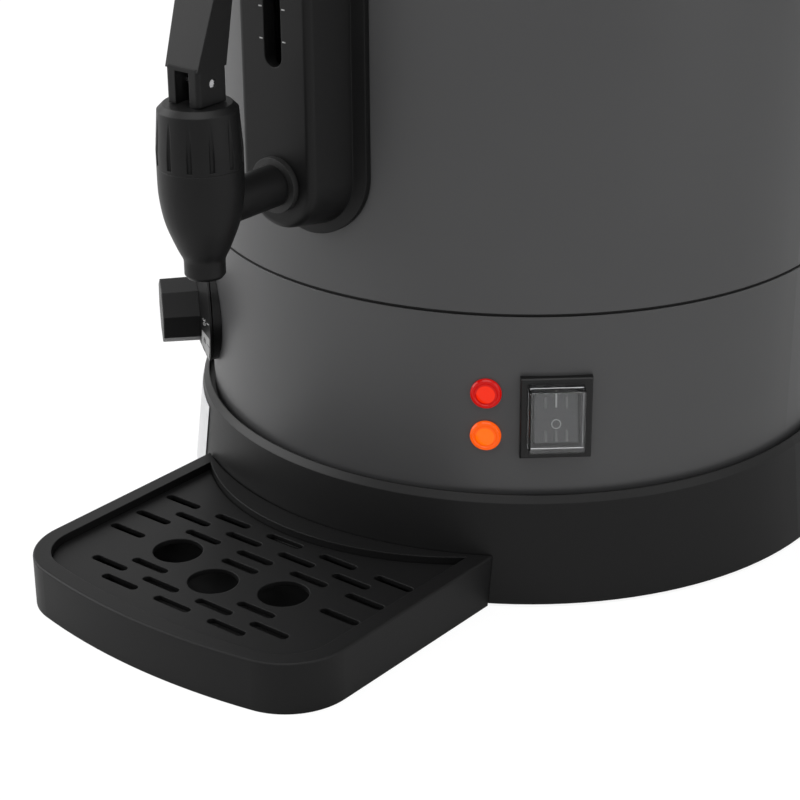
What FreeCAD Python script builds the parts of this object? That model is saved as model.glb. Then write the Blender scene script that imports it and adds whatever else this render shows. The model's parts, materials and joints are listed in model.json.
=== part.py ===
"""Hot water urn: a double-walled boiler with a front tap, a thermostat and a drip tray.

Millimetres, +Z up. The urn's axis is Z, the floor is z = 0 and the front faces -Y.
Angles are turned about Z from the front, positive towards +X.
"""
import FreeCAD, Part
import math
import os

# Outer shells
FLOOR_GAP = 1.0            # the rubber ring lifts the plastic base this far off the floor
SHELL_R = 130.0            # outside of the painted shells
SHELL_WALL = 1.2
SEAM_Z = 115.0             # the dark seam between the control band and the jacket
SEAM_GAP = 1.2             # width of that seam
SEAM_SINK = 0.6            # how far its ring lies below the paint
JACKET_TOP_Z = 388.0
SHELF_Z = 39.0             # the shells stand on this shelf of the base

# Base
BASE_FOOT_R = 139.2        # widest, at the bottom of the sloping wall
BASE_LIP_R = 134.6
BASE_LIP_Z = 41.2
LIP_TOP_R = 132.3          # inner edge of the lip; the dark groove lies inside it
LIP_TOP_Z = 44.0
BASE_WALL = 3.0
SHELF_INNER_R = 108.0
RIM_INNER_R = 124.0        # the flange under the base
RIM_T = 3.0
FOOT_RING_R = 133.5
FOOT_RING_W = 5.0
FOOT_RING_SINK = 1.5
COVER_R = 130.0
COVER_T = 2.0
BOSS_COUNT = 4
BOSS_R = 4.5
BOSS_AT_R = 116.0
SCREW_R = 1.75
SCREW_HEAD_R = 3.4
SCREW_HEAD_T = 2.0
SCREW_L = 12.0
VENT_R = 2.5
VENT_COUNT = 16

# Tank and lid
TANK_R = 112.0             # inside of the tank
TANK_WALL = 0.8
TANK_FLOOR_Z = 122.0
TANK_TOP_Z = 386.0
TANK_CORNER = 2.5          # bevel round the tank's floor
RIM_RING_R = 133.0
RIM_RING_H = 9.0
RIM_RING_SKIRT = 6.0
LID_R = 129.0
LID_RISE = 22.0
LID_WALL = 1.5
LID_EDGE_T = 1.5
LID_EDGE_W = 8.0
LID_PLUG_R = 110.0
LID_PLUG_H = 9.0
LID_SEAL_T = 1.6
LID_KNOB_R = 19.0
LID_KNOB_H = 24.0
SLEEVE_T = 10.0            # insulation between tank and jacket
SLEEVE_BOTTOM_Z = 127.0
SLEEVE_TOP_Z = 372.0
POST_COUNT = 3
POST_R = 4.0
POST_AT_R = 109.5

# Heaters under the tank
HEATER_R = 72.0
HEATER_T = 5.0
ELEMENT_R = 4.0
ELEMENT_AT_R = 56.0
ELEMENT_SWEEP = 300.0
KEEP_WARM_W = 46.0
KEEP_WARM_L = 24.0
KEEP_WARM_T = 7.0
STUD_R = 2.0
STUD_L = 14.0
STUD_AT_R = 46.0
STUD_FIRST = 0.0           # turn of the first stud, clear of the element's ends
NUT_R = 4.0
NUT_T = 3.2

# Tap and gauge
TAP_Z = 161.2              # axis of the tap's stub through the wall
TAP_OUT = 188.5            # the nozzle's distance from the urn's axis
NOZZLE_Z = 137.8           # mouth of the nozzle
NOZZLE_BORE_R = 5.2
BODY_TOP_Z = 178.5
BODY_R = 15.0
CHAMBER_R = 11.8
SEAT_Z = 154.0
STUB_R = 7.6
STUB_BORE_R = 5.0
THREAD_R = 7.0
THREAD_CLEAR = 0.1
TAP_NUT_R = 13.0
TAP_NUT_T = 5.0
WASHER_T = 1.6
COLLAR_R = 10.2            # washer that shows between the stub and the housing
COLLAR_T = 2.4
BONNET_H = 22.0
BONNET_WALL = 3.0
RIB_COUNT = 12
RIB_GROOVE_R = 0.9
STEM_R = 2.5
STEM_CLEAR = 0.08          # running clearance of the stem in the bonnet
CUP_R = 8.6
CUP_T = 3.0
SPRING_R = 6.4
SPRING_WALL = 1.2
PIN_R = 1.5
PIN_CLEAR = 0.05
PIN_UP = 7.6               # height of the lever's pin over the bonnet
LEVER_W = 15.0
LEVER_BLOCK = 14.0
LEVER_H = 44.0
LEVER_LEAN = 12.0          # degrees that the handle leans back
LEVER_SLOT = 6.4
HOUSING_HALF_W = 20.6      # gauge housing at the wall
HOUSING_FRONT_HALF_W = 16.4
HOUSING_OUT = 150.0
HOUSING_ROUND = 3.0
HOUSING_TOP_Z = 338.0      # centre of its rounded top
FLANGE_HALF_W = 25.0
FLANGE_T = 2.4
FLANGE_RISE = 1.8          # its round foot is centred this far over the tap's axis
TUBE_R = 5.0
TUBE_WALL = 1.0
TUBE_AT = 140.5
TUBE_BOTTOM_Z = 182.0
TUBE_TOP_Z = 330.0
WINDOW_W = 8.0
WINDOW_BOTTOM_Z = 208.0
WINDOW_TOP_Z = 322.0
GROMMET_T = 8.0
ELBOW_R = 3.5
VENT_RISE = 4.0            # the vent pipe lies this far over the tube's end

# Control band
KNOB_TURN = -41.5          # degrees from the front
KNOB_Z = 76.0
KNOB_R = 13.6
KNOB_SIDES = 8
KNOB_FIRST = 8.0           # turn of its first corner about its own axis
KNOB_OUT = 151.3
SKIRT_R = 22.0
SKIRT_OUT = 136.2
SKIRT_BACK = 132.2
SKIRT_EDGE = 0.9
BEZEL_R = 21.5
BEZEL_OUT = 131.8
SHAFT_R = 3.0
SHAFT_CLEAR = 0.06
THERMO_W = 34.0
THERMO_H = 30.0
THERMO_D = 14.0
CAPILLARY_R = 1.0
CAPILLARY_BEND = 6.0
CAPILLARY_STEP = 9.0       # how far inward its upright run stands
BULB_R = 3.0
BULB_L = 17.0
LAMP_TURN = 30.46
LAMP_Z = (84.1, 67.1)      # heating lamp above, keep-warm lamp below
LAMP_R = 5.8
LAMP_OUT = 2.0
SWITCH_TURN = 41.8
SWITCH_Z = 75.3
SWITCH_W = 26.6
SWITCH_H = 32.2
SWITCH_OUT = 132.6         # front of the bezel
COVER_W = 21.0
COVER_H = 25.0
COVER_OUT = 4.6
COVER_WALL = 0.8
ROCKER_W = 16.4
ROCKER_H = 21.0
ROCKER_T = 4.4
ROCKER_SINK = 4.2          # its pivots lie this far behind the front of the bezel
ROCKER_FACE = 3.8          # its level face stands this far in front of them
ROCKER_HOLLOW_R = 70.0     # the face is hollowed between its ends
ROCKER_HOLLOW = 0.8
ROCKER_BOSS_R = 2.6
ROCKER_TILT = 12.0         # the rocker stands this many degrees either side of level
ROCKER_CLEAR = 0.5

# Power and reset at the back
INLET_Z = 24.0
INLET_W = 27.0
INLET_H = 20.0
INLET_D = 18.0
PAD_OUT = 140.6
PAD_W = 46.0
RESET_TURN = 154.0
RESET_R = 4.0
RESET_CLEAR = 0.08
RESET_STAND = 3.0

# Handles
HANDLE_Z = 300.0
HANDLE_W = 112.0           # between the outsides of its feet
HANDLE_OUT = 40.0
HANDLE_BAR_R = 8.5
HANDLE_PAD_T = 5.0

# Drip tray
TRAY_HALF_W = 73.1
TRAY_H = 20.3
TRAY_Z = 0.3
TRAY_FRONT = 234.0
TRAY_CORNER_R = 26.0
TRAY_BOW_R = 260.0         # the bowed front
TRAY_CLEAR = 0.6
TRAY_WALL = 2.4
TRAY_RIM = 7.0
GRILLE_SINK = 3.0
GRILLE_T = 2.0
GRILLE_CLEAR = 0.35
SLOT_L = 17.6
SLOT_W = 3.8
SLOT_PITCH = 26.95
HOLE_R = 9.6
HOLE_AT = 192.0
SIDE_HOLE_AT = 182.9
BACK_ROW_AT = 152.0        # first of the rows behind the round holes
BACK_ROW_STEP = 8.4
FRONT_ROW_AT = 197.8
FRONT_ROW_STEP = 7.9
HOOK_AT = 44.0
HOOK_W = 12.0
HOOK_H = 5.0
HOOK_Z = 9.0
HOOK_L = 9.0
HOOK_CLEAR = 0.4

# Blank plate on the base
PLATE_TURN = -51.0
PLATE_SWEEP = 32.0
PLATE_T = 0.3
PLATE_MARGIN = 3.5
PLATE_GLUE = 0.1

VENT_Z = TUBE_TOP_Z + VENT_RISE

UP = FreeCAD.Vector(0, 0, 1)
AXIS_X = FreeCAD.Vector(1, 0, 0)
AXIS_Y = FreeCAD.Vector(0, 1, 0)
ORIGIN = FreeCAD.Vector(0, 0, 0)


def vec(x, y, z):
    return FreeCAD.Vector(x, y, z)


def disc(radius, bottom, height, x=0.0, y=0.0):
    """Upright cylinder."""
    return Part.makeCylinder(radius, height, vec(x, y, bottom), UP)


def ring(outer, inner, bottom, height, x=0.0, y=0.0):
    return disc(outer, bottom, height, x, y).cut(disc(inner, bottom - 1, height + 2, x, y))


def rod(radius, start, end, x, z):
    """Cylinder along the front-back line, from one distance out front to another."""
    return Part.makeCylinder(radius, end - start, vec(x, -start, z), vec(0, -1, 0))


def box(x0, x1, y0, y1, z0, z1):
    return Part.makeBox(x1 - x0, y1 - y0, z1 - z0, vec(x0, y0, z0))


def turned(shape, degrees):
    """A shape built at the front, turned to its own place round the urn."""
    copy = shape.copy()
    copy.rotate(ORIGIN, UP, degrees)
    return copy


def revolved(points, x=0.0, y=0.0):
    """Solid of revolution about the upright line through x, y; points are (radius, z)."""
    corners = [vec(x + r, y, z) for r, z in points]
    face = Part.Face(Part.makePolygon(corners + corners[:1]))
    return face.revolve(vec(x, y, 0), UP, 360)


def around(count, radius, shape_at, first=0.0):
    """Fused copies of a shape at even turns; shape_at(x, y) builds one."""
    shapes = []
    for index in range(count):
        turn = math.radians(first + 360.0 * index / count)
        shapes.append(shape_at(radius * math.sin(turn), -radius * math.cos(turn)))
    return shapes


def base_wall_r(z):
    """Outside of the sloping base wall at a height."""
    share = (z - FLOOR_GAP) / (BASE_LIP_Z - FLOOR_GAP)
    return BASE_FOOT_R + (BASE_LIP_R - BASE_FOOT_R) * share


def stadium(half_w, low_z, high_z, out):
    """Upright outline with round ends on the plane at a distance out front."""
    y = -out
    a = vec(half_w, y, low_z)
    b = vec(half_w, y, high_z)
    c = vec(-half_w, y, high_z)
    d = vec(-half_w, y, low_z)
    top = Part.Arc(b, vec(0, y, high_z + half_w), c)
    bottom = Part.Arc(d, vec(0, y, low_z - half_w), a)
    edges = [Part.makeLine(a, b), top.toShape(), Part.makeLine(c, d), bottom.toShape()]
    return Part.Wire(edges)


def save(name, shape):
    shape.exportStep("parts/%s.step" % name)


# Base

RIM_TOP = FLOOR_GAP + RIM_T
COVER_TOP = RIM_TOP + COVER_T
SHELF_UNDER = SHELF_Z - BASE_WALL


def power_pad():
    """Flat pad for the inlet and the reset button at the back of the base."""
    half = PAD_W / 2
    pad = box(-half, half, BASE_LIP_R - 10, PAD_OUT, FLOOR_GAP, BASE_LIP_Z - 2)
    return pad.makeFillet(2.5, [e for e in pad.Edges if is_pad_edge(e)])


def is_pad_edge(edge):
    points = [v.Point for v in edge.Vertexes]
    upright = abs(points[0].z - points[1].z) > 1
    return upright and min(p.y for p in points) > PAD_OUT - 0.1


def inlet_cut():
    half = INLET_W / 2
    return box(-half, half, PAD_OUT - INLET_D - 12, PAD_OUT + 1,
               INLET_Z - INLET_H / 2, INLET_Z + INLET_H / 2)


def reset_place(out):
    """Point at a distance from the urn's axis on the reset button's line."""
    turn = math.radians(RESET_TURN)
    return vec(out * math.sin(turn), -out * math.cos(turn), INLET_Z)


def reset_rod(radius, start, end):
    direction = reset_place(1).sub(reset_place(0))
    return Part.makeCylinder(radius, end - start, reset_place(start), direction)


RESET_FACE = base_wall_r(INLET_Z)


def base_housing():
    outer = [(RIM_INNER_R, FLOOR_GAP), (BASE_FOOT_R, FLOOR_GAP), (BASE_LIP_R, BASE_LIP_Z),
             (LIP_TOP_R, LIP_TOP_Z), (LIP_TOP_R, SHELF_Z), (SHELF_INNER_R, SHELF_Z),
             (SHELF_INNER_R, SHELF_UNDER), (BASE_LIP_R - BASE_WALL, SHELF_UNDER),
             (BASE_FOOT_R - BASE_WALL, RIM_TOP), (RIM_INNER_R, RIM_TOP)]
    shape = revolved(outer)
    solid_pad = power_pad().cut(disc(BASE_FOOT_R - BASE_WALL - 1, RIM_TOP, BASE_LIP_Z))
    shape = shape.fuse(solid_pad)
    bosses = around(BOSS_COUNT, BOSS_AT_R,
                    lambda x, y: disc(BOSS_R, COVER_TOP, SHELF_Z - 1 - COVER_TOP, x, y), 45)
    shape = shape.fuse(bosses)
    pilots = around(BOSS_COUNT, BOSS_AT_R,
                    lambda x, y: disc(SCREW_R, COVER_TOP - 1, SCREW_L, x, y), 45)
    groove = ring(FOOT_RING_R, FOOT_RING_R - FOOT_RING_W, FLOOR_GAP - 1, 1 + FOOT_RING_SINK)
    shape = shape.cut(pilots + [groove, inlet_cut()])
    shape = shape.cut(reset_rod(RESET_R + 2.0, RESET_FACE - 12, RESET_FACE + 5))
    shape = shape.cut([hook_box(side, HOOK_CLEAR, HOOK_L + 8) for side in (-1, 1)])
    posts = around(POST_COUNT, POST_AT_R + 4.0,
                   lambda x, y: disc(SCREW_R, SHELF_UNDER - 1, BASE_WALL + 2, x, y), 60)
    return shape.cut(posts).removeSplitter()


def foot_ring():
    return ring(FOOT_RING_R, FOOT_RING_R - FOOT_RING_W, 0, FLOOR_GAP + FOOT_RING_SINK)


def bottom_cover():
    plate = disc(COVER_R, RIM_TOP, COVER_T)
    holes = around(BOSS_COUNT, BOSS_AT_R,
                   lambda x, y: disc(SCREW_R, RIM_TOP - 1, COVER_T + 2, x, y), 45)
    vents = around(VENT_COUNT, BOSS_AT_R / 2,
                   lambda x, y: disc(VENT_R, RIM_TOP - 1, COVER_T + 2, x, y))
    return plate.cut(holes + vents)


def screw_up(x, y):
    """Pan-head screw from below, its head against the cover."""
    head = disc(SCREW_HEAD_R, RIM_TOP - SCREW_HEAD_T, SCREW_HEAD_T, x, y)
    shank = disc(SCREW_R, RIM_TOP, SCREW_L, x, y)
    slot = box(x - SCREW_HEAD_R, x + SCREW_HEAD_R, y - 0.5, y + 0.5,
               RIM_TOP - SCREW_HEAD_T - 1, RIM_TOP - SCREW_HEAD_T + 0.8)
    return head.fuse(shank).cut(slot)


def base_screws():
    return Part.makeCompound(around(BOSS_COUNT, BOSS_AT_R, screw_up, 45))


def blank_plate():
    """Thin foil plate that follows the sloping wall."""
    low = FLOOR_GAP + PLATE_MARGIN
    high = BASE_LIP_Z - PLATE_MARGIN
    low_r = base_wall_r(low) + PLATE_GLUE
    high_r = base_wall_r(high) + PLATE_GLUE
    points = [(low_r, low), (low_r + PLATE_T, low), (high_r + PLATE_T, high), (high_r, high)]
    corners = [vec(r, 0, z) for r, z in points]
    face = Part.Face(Part.makePolygon(corners + corners[:1]))
    patch = face.revolve(ORIGIN, UP, PLATE_SWEEP)
    return turned(patch, PLATE_TURN - PLATE_SWEEP / 2 - 90)


# Shells

def wall_cut(radius, degrees, z):
    """Round hole through the shells."""
    hole = rod(radius, SHELL_R - 14, SHELL_R + 10, 0, z)
    return turned(hole, degrees)


def control_band():
    bottom = SHELF_Z
    top = SEAM_Z - SEAM_GAP / 2
    shape = ring(SHELL_R, SHELL_R - SHELL_WALL, bottom, top - bottom)
    cuts = [wall_cut(LAMP_R - 0.9, LAMP_TURN, z) for z in LAMP_Z]
    cuts.append(wall_cut(SHAFT_R + 3.0, KNOB_TURN, KNOB_Z))
    half_w = SWITCH_BODY_W / 2
    half_h = SWITCH_BODY_H / 2
    opening = box(-half_w, half_w, -SHELL_R - 5, -SHELL_R + 14, SWITCH_Z - half_h, SWITCH_Z + half_h)
    cuts.append(turned(opening, SWITCH_TURN))
    return shape.cut(cuts)


def seam_ring():
    """Dark joining ring: a lip shows in the seam and a sleeve holds both shells."""
    sleeve_r = SHELL_R - SHELL_WALL
    reach = 4.0
    lip_low = SEAM_Z - SEAM_GAP / 2
    lip_high = SEAM_Z + SEAM_GAP / 2
    sleeve = ring(sleeve_r, sleeve_r - 1.8, lip_low - reach, lip_high - lip_low + 2 * reach)
    lip = ring(SHELL_R - SEAM_SINK, sleeve_r - 1.8, lip_low, lip_high - lip_low)
    return sleeve.fuse(lip).removeSplitter()


def outer_jacket():
    bottom = SEAM_Z + SEAM_GAP / 2
    shape = ring(SHELL_R, SHELL_R - SHELL_WALL, bottom, JACKET_TOP_Z - bottom)
    cuts = [wall_cut(THREAD_R + 0.3, 0, TAP_Z), wall_cut(ELBOW_R + 0.3, 0, VENT_Z)]
    for side in (-90, 90):
        for offset in (-1, 1):
            cuts.append(handle_screw_hole(side, offset))
    return shape.cut(cuts)


# Tank

def inner_tank():
    outer_r = TANK_R + TANK_WALL
    under = TANK_FLOOR_Z - TANK_WALL
    bevel_z = TANK_FLOOR_Z + TANK_CORNER
    flange_r = SHELL_R - SHELL_WALL - 1
    points = [(0, under), (outer_r - TANK_CORNER, under), (outer_r, bevel_z),
              (outer_r, TANK_TOP_Z - TANK_WALL), (flange_r, TANK_TOP_Z - TANK_WALL),
              (flange_r, TANK_TOP_Z), (TANK_R, TANK_TOP_Z), (TANK_R, bevel_z),
              (TANK_R - TANK_CORNER, TANK_FLOOR_Z), (0, TANK_FLOOR_Z)]
    shape = revolved(points)
    outlet = rod(THREAD_R + 0.2, TANK_R - 8, TANK_R + 8, 0, TAP_Z)
    vent = rod(ELBOW_R + 0.1, TANK_R - 8, TANK_R + 8, 0, VENT_Z)
    return shape.cut([outlet, vent])


def rim_ring():
    """Black ring over the edges of tank and jacket, which the lid rests on."""
    top = JACKET_TOP_Z + RIM_RING_H - RIM_RING_SKIRT
    inner = LID_PLUG_R + 3.0
    points = [(inner, TANK_TOP_Z), (SHELL_R - SHELL_WALL, TANK_TOP_Z),
              (SHELL_R - SHELL_WALL, JACKET_TOP_Z), (SHELL_R, JACKET_TOP_Z),
              (SHELL_R, JACKET_TOP_Z - RIM_RING_SKIRT),
              (RIM_RING_R, JACKET_TOP_Z - RIM_RING_SKIRT), (RIM_RING_R, top - 3),
              (RIM_RING_R - 3, top), (inner, top)]
    return revolved(points)


def insulation_sleeve():
    inner = TANK_R + TANK_WALL + 1.0
    shape = ring(inner + SLEEVE_T, inner, SLEEVE_BOTTOM_Z, SLEEVE_TOP_Z - SLEEVE_BOTTOM_Z)
    near_tap = rod(TAP_NUT_R + 3, inner - 5, inner + SLEEVE_T + 5, 0, TAP_Z)
    near_tube = rod(ELBOW_R + 1, inner - 5, inner + SLEEVE_T + 5, 0, VENT_Z)
    return shape.cut([near_tap, near_tube])


def tank_posts():
    """Posts that carry the tank on the shelf of the base."""
    low = SHELF_Z
    high = TANK_FLOOR_Z - TANK_WALL
    at = TANK_R - 9.0

    def post(x, y):
        foot_x = x * (POST_AT_R + 4.0) / at
        foot_y = y * (POST_AT_R + 4.0) / at
        foot = disc(POST_R + 1.5, low, 3, foot_x, foot_y)
        leg = disc(POST_R, low, high - low, x, y)
        tie = Part.makeCylinder(POST_R - 0.5, 14, vec(x * 0.97, y * 0.97, low + POST_R + 1),
                                vec(x, y, 0))
        return leg.fuse(foot).fuse(tie.common(disc(POST_AT_R + 6, low, 12))).removeSplitter()

    return Part.makeCompound(around(POST_COUNT, at, post, 60))


HEATER_TOP = TANK_FLOOR_Z - TANK_WALL
HEATER_LOW = HEATER_TOP - HEATER_T


def heater_plate():
    plate = disc(HEATER_R, HEATER_LOW, HEATER_T)
    studs = around(3, STUD_AT_R,
                   lambda x, y: disc(STUD_R, HEATER_LOW - STUD_L, STUD_L + 1, x, y), STUD_FIRST)
    return plate.fuse(studs)


def heating_element():
    """Tube element clamped under the plate, its two cold ends turned down."""
    z = HEATER_LOW - ELEMENT_R
    half = math.radians(ELEMENT_SWEEP / 2)
    start = vec(ELEMENT_AT_R * math.sin(half), ELEMENT_AT_R * math.cos(half), z)
    end = vec(-start.x, start.y, z)
    middle = vec(0, ELEMENT_AT_R * -1, z)
    start.y = -ELEMENT_AT_R * math.cos(half)
    end.y = start.y
    path = Part.Wire([Part.Arc(start, middle, end).toShape()])
    tangent = vec(math.cos(half), math.sin(half), 0)
    section = Part.Wire([Part.makeCircle(ELEMENT_R, start, tangent)])
    tube = path.makePipeShell([section], True, False)
    pins = [Part.makeCylinder(1.5, 12, vec(p.x, p.y, z - 10), UP) for p in (start, end)]
    return tube.fuse(pins)


def keep_warm_element():
    half_w = KEEP_WARM_W / 2
    half_l = KEEP_WARM_L / 2
    block = box(-half_w, half_w, -half_l, half_l, HEATER_LOW - KEEP_WARM_T, HEATER_LOW)
    return block.makeFillet(2.0, [e for e in block.Edges if upright(e)])


def upright(edge):
    a, b = [v.Point for v in edge.Vertexes]
    return abs(a.x - b.x) < 1e-6 and abs(a.y - b.y) < 1e-6


def hex_nut(x, y, bottom, bore):
    corners = []
    for index in range(7):
        turn = math.radians(60 * index)
        corners.append(vec(x + NUT_R * math.cos(turn), y + NUT_R * math.sin(turn), bottom))
    body = Part.Face(Part.makePolygon(corners)).extrude(vec(0, 0, NUT_T))
    return body.cut(disc(bore, bottom - 1, NUT_T + 2, x, y))


CLAMP_T = 1.5
CLAMP_TOP = HEATER_LOW - 2 * ELEMENT_R


def heater_clamp():
    """Pressed bar star that holds the element up to the plate."""
    arm_end = ELEMENT_AT_R + 6
    half_ring = 6.0
    inner = STUD_AT_R - half_ring
    shape = ring(STUD_AT_R + half_ring, inner, CLAMP_TOP - CLAMP_T, CLAMP_T)
    arms = []
    for index in range(3):
        arm = box(-5, 5, -arm_end, -(inner + 2), CLAMP_TOP - CLAMP_T, CLAMP_TOP)
        arms.append(turned(arm, STUD_FIRST + 120 * index))
    shape = shape.fuse(arms).removeSplitter()
    holes = around(3, STUD_AT_R,
                   lambda x, y: disc(STUD_R, CLAMP_TOP - 5, 10, x, y), STUD_FIRST)
    return shape.cut(holes)


def heater_nuts():
    low = CLAMP_TOP - CLAMP_T - NUT_T
    return Part.makeCompound(around(3, STUD_AT_R,
                                    lambda x, y: hex_nut(x, y, low, STUD_R), STUD_FIRST))


# Tap

BONNET_TOP = BODY_TOP_Z + BONNET_H
PIN_Z = BONNET_TOP + PIN_UP
CUP_LOW = SEAT_Z
CUP_TOP = CUP_LOW + CUP_T


def tap_body():
    """Vase-shaped body with its nozzle below and its threaded stub behind."""
    centre = vec(0, -TAP_OUT, 0)

    def at(radius, z):
        return vec(radius, -TAP_OUT, z)

    low = [at(6.4, NOZZLE_Z), at(7.3, NOZZLE_Z + 1.2), at(7.3, NOZZLE_Z + 5.5)]
    curve = Part.BSplineCurve()
    curve.interpolate([at(7.3, NOZZLE_Z + 5.5), at(8.4, 146.6), at(10.5, 151.3), at(13.1, 158.4),
                       at(14.6, 166.5), at(BODY_R, BODY_TOP_Z - 2)],
                      InitialTangent=vec(0, 0, 1), FinalTangent=vec(0, 0, 1))
    edges = [Part.makeLine(at(0, NOZZLE_Z), low[0]), Part.makeLine(low[0], low[1]),
             Part.makeLine(low[1], low[2]), curve.toShape(),
             Part.makeLine(at(BODY_R, BODY_TOP_Z - 2), at(BODY_R, BODY_TOP_Z)),
             Part.makeLine(at(BODY_R, BODY_TOP_Z), at(0, BODY_TOP_Z)),
             Part.makeLine(at(0, BODY_TOP_Z), at(0, NOZZLE_Z))]
    shape = Part.Face(Part.Wire(edges)).revolve(centre, UP, 360)
    stub = rod(STUB_R, HOUSING_OUT + COLLAR_T, TAP_OUT - 4, 0, TAP_Z)
    thread = rod(THREAD_R, TANK_R - TAP_NUT_T - 3, HOUSING_OUT + COLLAR_T + 1, 0, TAP_Z)
    shape = shape.fuse([stub, thread])
    outlet = disc(NOZZLE_BORE_R, NOZZLE_Z - 1, SEAT_Z - NOZZLE_Z + 2, 0, -TAP_OUT)
    chamber = disc(CHAMBER_R - 1.6, SEAT_Z, TAP_Z - SEAT_Z, 0, -TAP_OUT)
    upper = disc(CHAMBER_R, TAP_Z, BODY_TOP_Z, 0, -TAP_OUT)
    seat = ring(NOZZLE_BORE_R + 1.4, NOZZLE_BORE_R, SEAT_Z - 0.5, 0.5, 0, -TAP_OUT)
    inlet = rod(STUB_BORE_R, TANK_R - TAP_NUT_T - 5, TAP_OUT - CHAMBER_R + 3, 0, TAP_Z)
    return shape.cut([outlet, chamber, upper, inlet]).fuse(seat).removeSplitter()


def bonnet():
    """Ribbed collar that screws over the body, with a plug down inside it."""
    top_r = BODY_R - 1.0
    points = [(CHAMBER_R - 0.4 - 2.0, BODY_TOP_Z - 5), (CHAMBER_R, BODY_TOP_Z - 5),
              (CHAMBER_R, BODY_TOP_Z), (BODY_R, BODY_TOP_Z), (BODY_R, BODY_TOP_Z + 6),
              (top_r, BONNET_TOP - 2), (top_r - 2, BONNET_TOP), (STEM_R + STEM_CLEAR, BONNET_TOP),
              (STEM_R + STEM_CLEAR, BONNET_TOP - BONNET_WALL),
              (CHAMBER_R - 2.4, BONNET_TOP - BONNET_WALL)]
    shape = revolved(points, 0, -TAP_OUT)
    grooves = around(RIB_COUNT, BODY_R,
                     lambda x, y: disc(RIB_GROOVE_R, BODY_TOP_Z + 1.2, BONNET_H - 3.4,
                                       x, y - TAP_OUT))
    return shape.cut(grooves)


def valve_stem():
    rise = disc(STEM_R, CUP_TOP - 1, PIN_Z + 3.4 - CUP_TOP + 1, 0, -TAP_OUT)
    flange = disc(SPRING_R, CUP_TOP, 1.6, 0, -TAP_OUT)
    eye = Part.makeCylinder(PIN_R, 20, vec(-10, -TAP_OUT, PIN_Z), AXIS_X)
    return rise.fuse(flange).cut(eye)


def seat_cup():
    cup = disc(CUP_R, CUP_LOW, CUP_T, 0, -TAP_OUT)
    socket = disc(STEM_R, CUP_TOP - 1, 3, 0, -TAP_OUT)
    return cup.cut(socket)


SPRING_LOW = CUP_TOP + 1.6
SPRING_TOP = BONNET_TOP - BONNET_WALL


def tap_spring():
    return ring(SPRING_R, SPRING_R - SPRING_WALL, SPRING_LOW, SPRING_TOP - SPRING_LOW, 0, -TAP_OUT)


def tap_lever():
    """Forked handle on the stem's pin; its heel stands just over the bonnet."""
    half = LEVER_W / 2
    deep = LEVER_BLOCK / 2
    low = BONNET_TOP + 0.4
    block = box(-half, half, -deep, deep, low, PIN_Z + 6)
    block = block.makeFillet(1.5, [e for e in block.Edges if upright(e)])
    tip_z = PIN_Z + LEVER_H
    foot = Part.makePolygon([vec(-half, -deep, PIN_Z + 5), vec(half, -deep, PIN_Z + 5),
                             vec(half, deep, PIN_Z + 5), vec(-half, deep, PIN_Z + 5),
                             vec(-half, -deep, PIN_Z + 5)])
    back = LEVER_H * math.tan(math.radians(LEVER_LEAN))
    wide = half + 2
    tip = Part.makePolygon([vec(-wide, back - 3, tip_z), vec(wide, back - 3, tip_z),
                            vec(wide, back + 3, tip_z), vec(-wide, back + 3, tip_z),
                            vec(-wide, back - 3, tip_z)])
    handle = Part.makeLoft([foot, tip], True, True)
    shape = block.fuse(handle).removeSplitter()
    slot = LEVER_SLOT / 2
    shape = shape.cut(box(-slot, slot, -deep - 1, deep + 1, low - 1, PIN_Z + 4.4))
    shape.translate(vec(0, -TAP_OUT, 0))
    eye = Part.makeCylinder(PIN_R + PIN_CLEAR, 30, vec(-15, -TAP_OUT, PIN_Z), AXIS_X)
    return shape.cut(eye)


def lever_pin():
    return Part.makeCylinder(PIN_R, LEVER_W - 1, vec(-(LEVER_W - 1) / 2, -TAP_OUT, PIN_Z), AXIS_X)


def housing_blank():
    """Gauge housing without its holes: a wide foot on the wall, drawn in to its face."""
    wall = stadium(HOUSING_HALF_W, TAP_Z, HOUSING_TOP_Z, SHELL_R - 6)
    face = stadium(HOUSING_FRONT_HALF_W, TAP_Z, HOUSING_TOP_Z, HOUSING_OUT)
    shape = Part.makeLoft([wall, face], True, True)
    front = [e for e in shape.Edges if all(abs(v.Y + HOUSING_OUT) < 0.01 for v in e.Vertexes)]
    shape = shape.makeFillet(HOUSING_ROUND, front)
    foot = Part.Face(stadium(FLANGE_HALF_W, TAP_Z + FLANGE_RISE, HOUSING_TOP_Z, 100))
    foot = foot.extrude(vec(0, -35, 0))
    skin = disc(SHELL_R + FLANGE_T, 100, 300).cut(disc(SHELL_R, 99, 302))
    return shape.fuse(foot.common(skin)).cut(disc(SHELL_R, 90, 320))


def gauge_housing():
    shape = housing_blank()
    tap_hole = rod(THREAD_R + THREAD_CLEAR, 100, HOUSING_OUT + 5, 0, TAP_Z)
    tube_room = disc(TUBE_R + 0.4, TUBE_BOTTOM_Z, TUBE_TOP_Z - TUBE_BOTTOM_Z + 10, 0, -TUBE_AT)
    feed = disc(2.5, TAP_Z, TUBE_BOTTOM_Z - TAP_Z + 1, 0, -TUBE_AT)
    vent = rod(ELBOW_R, 100, TUBE_AT, 0, VENT_Z)
    window = Part.Face(stadium(WINDOW_W / 2, WINDOW_BOTTOM_Z, WINDOW_TOP_Z, HOUSING_OUT + 5))
    window = window.extrude(vec(0, HOUSING_OUT + 5 - TUBE_AT, 0))
    return shape.cut([tap_hole, tube_room, feed, vent, window]).removeSplitter()


def gauge_elbow():
    """Short pipe that vents the top of the sight tube into the tank."""
    shape = rod(ELBOW_R - 0.1, TANK_R - 4, TUBE_AT - TUBE_R - 1, 0, VENT_Z)
    return shape.cut(rod(ELBOW_R - 1.1, TANK_R - 6, TUBE_AT, 0, VENT_Z))


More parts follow.
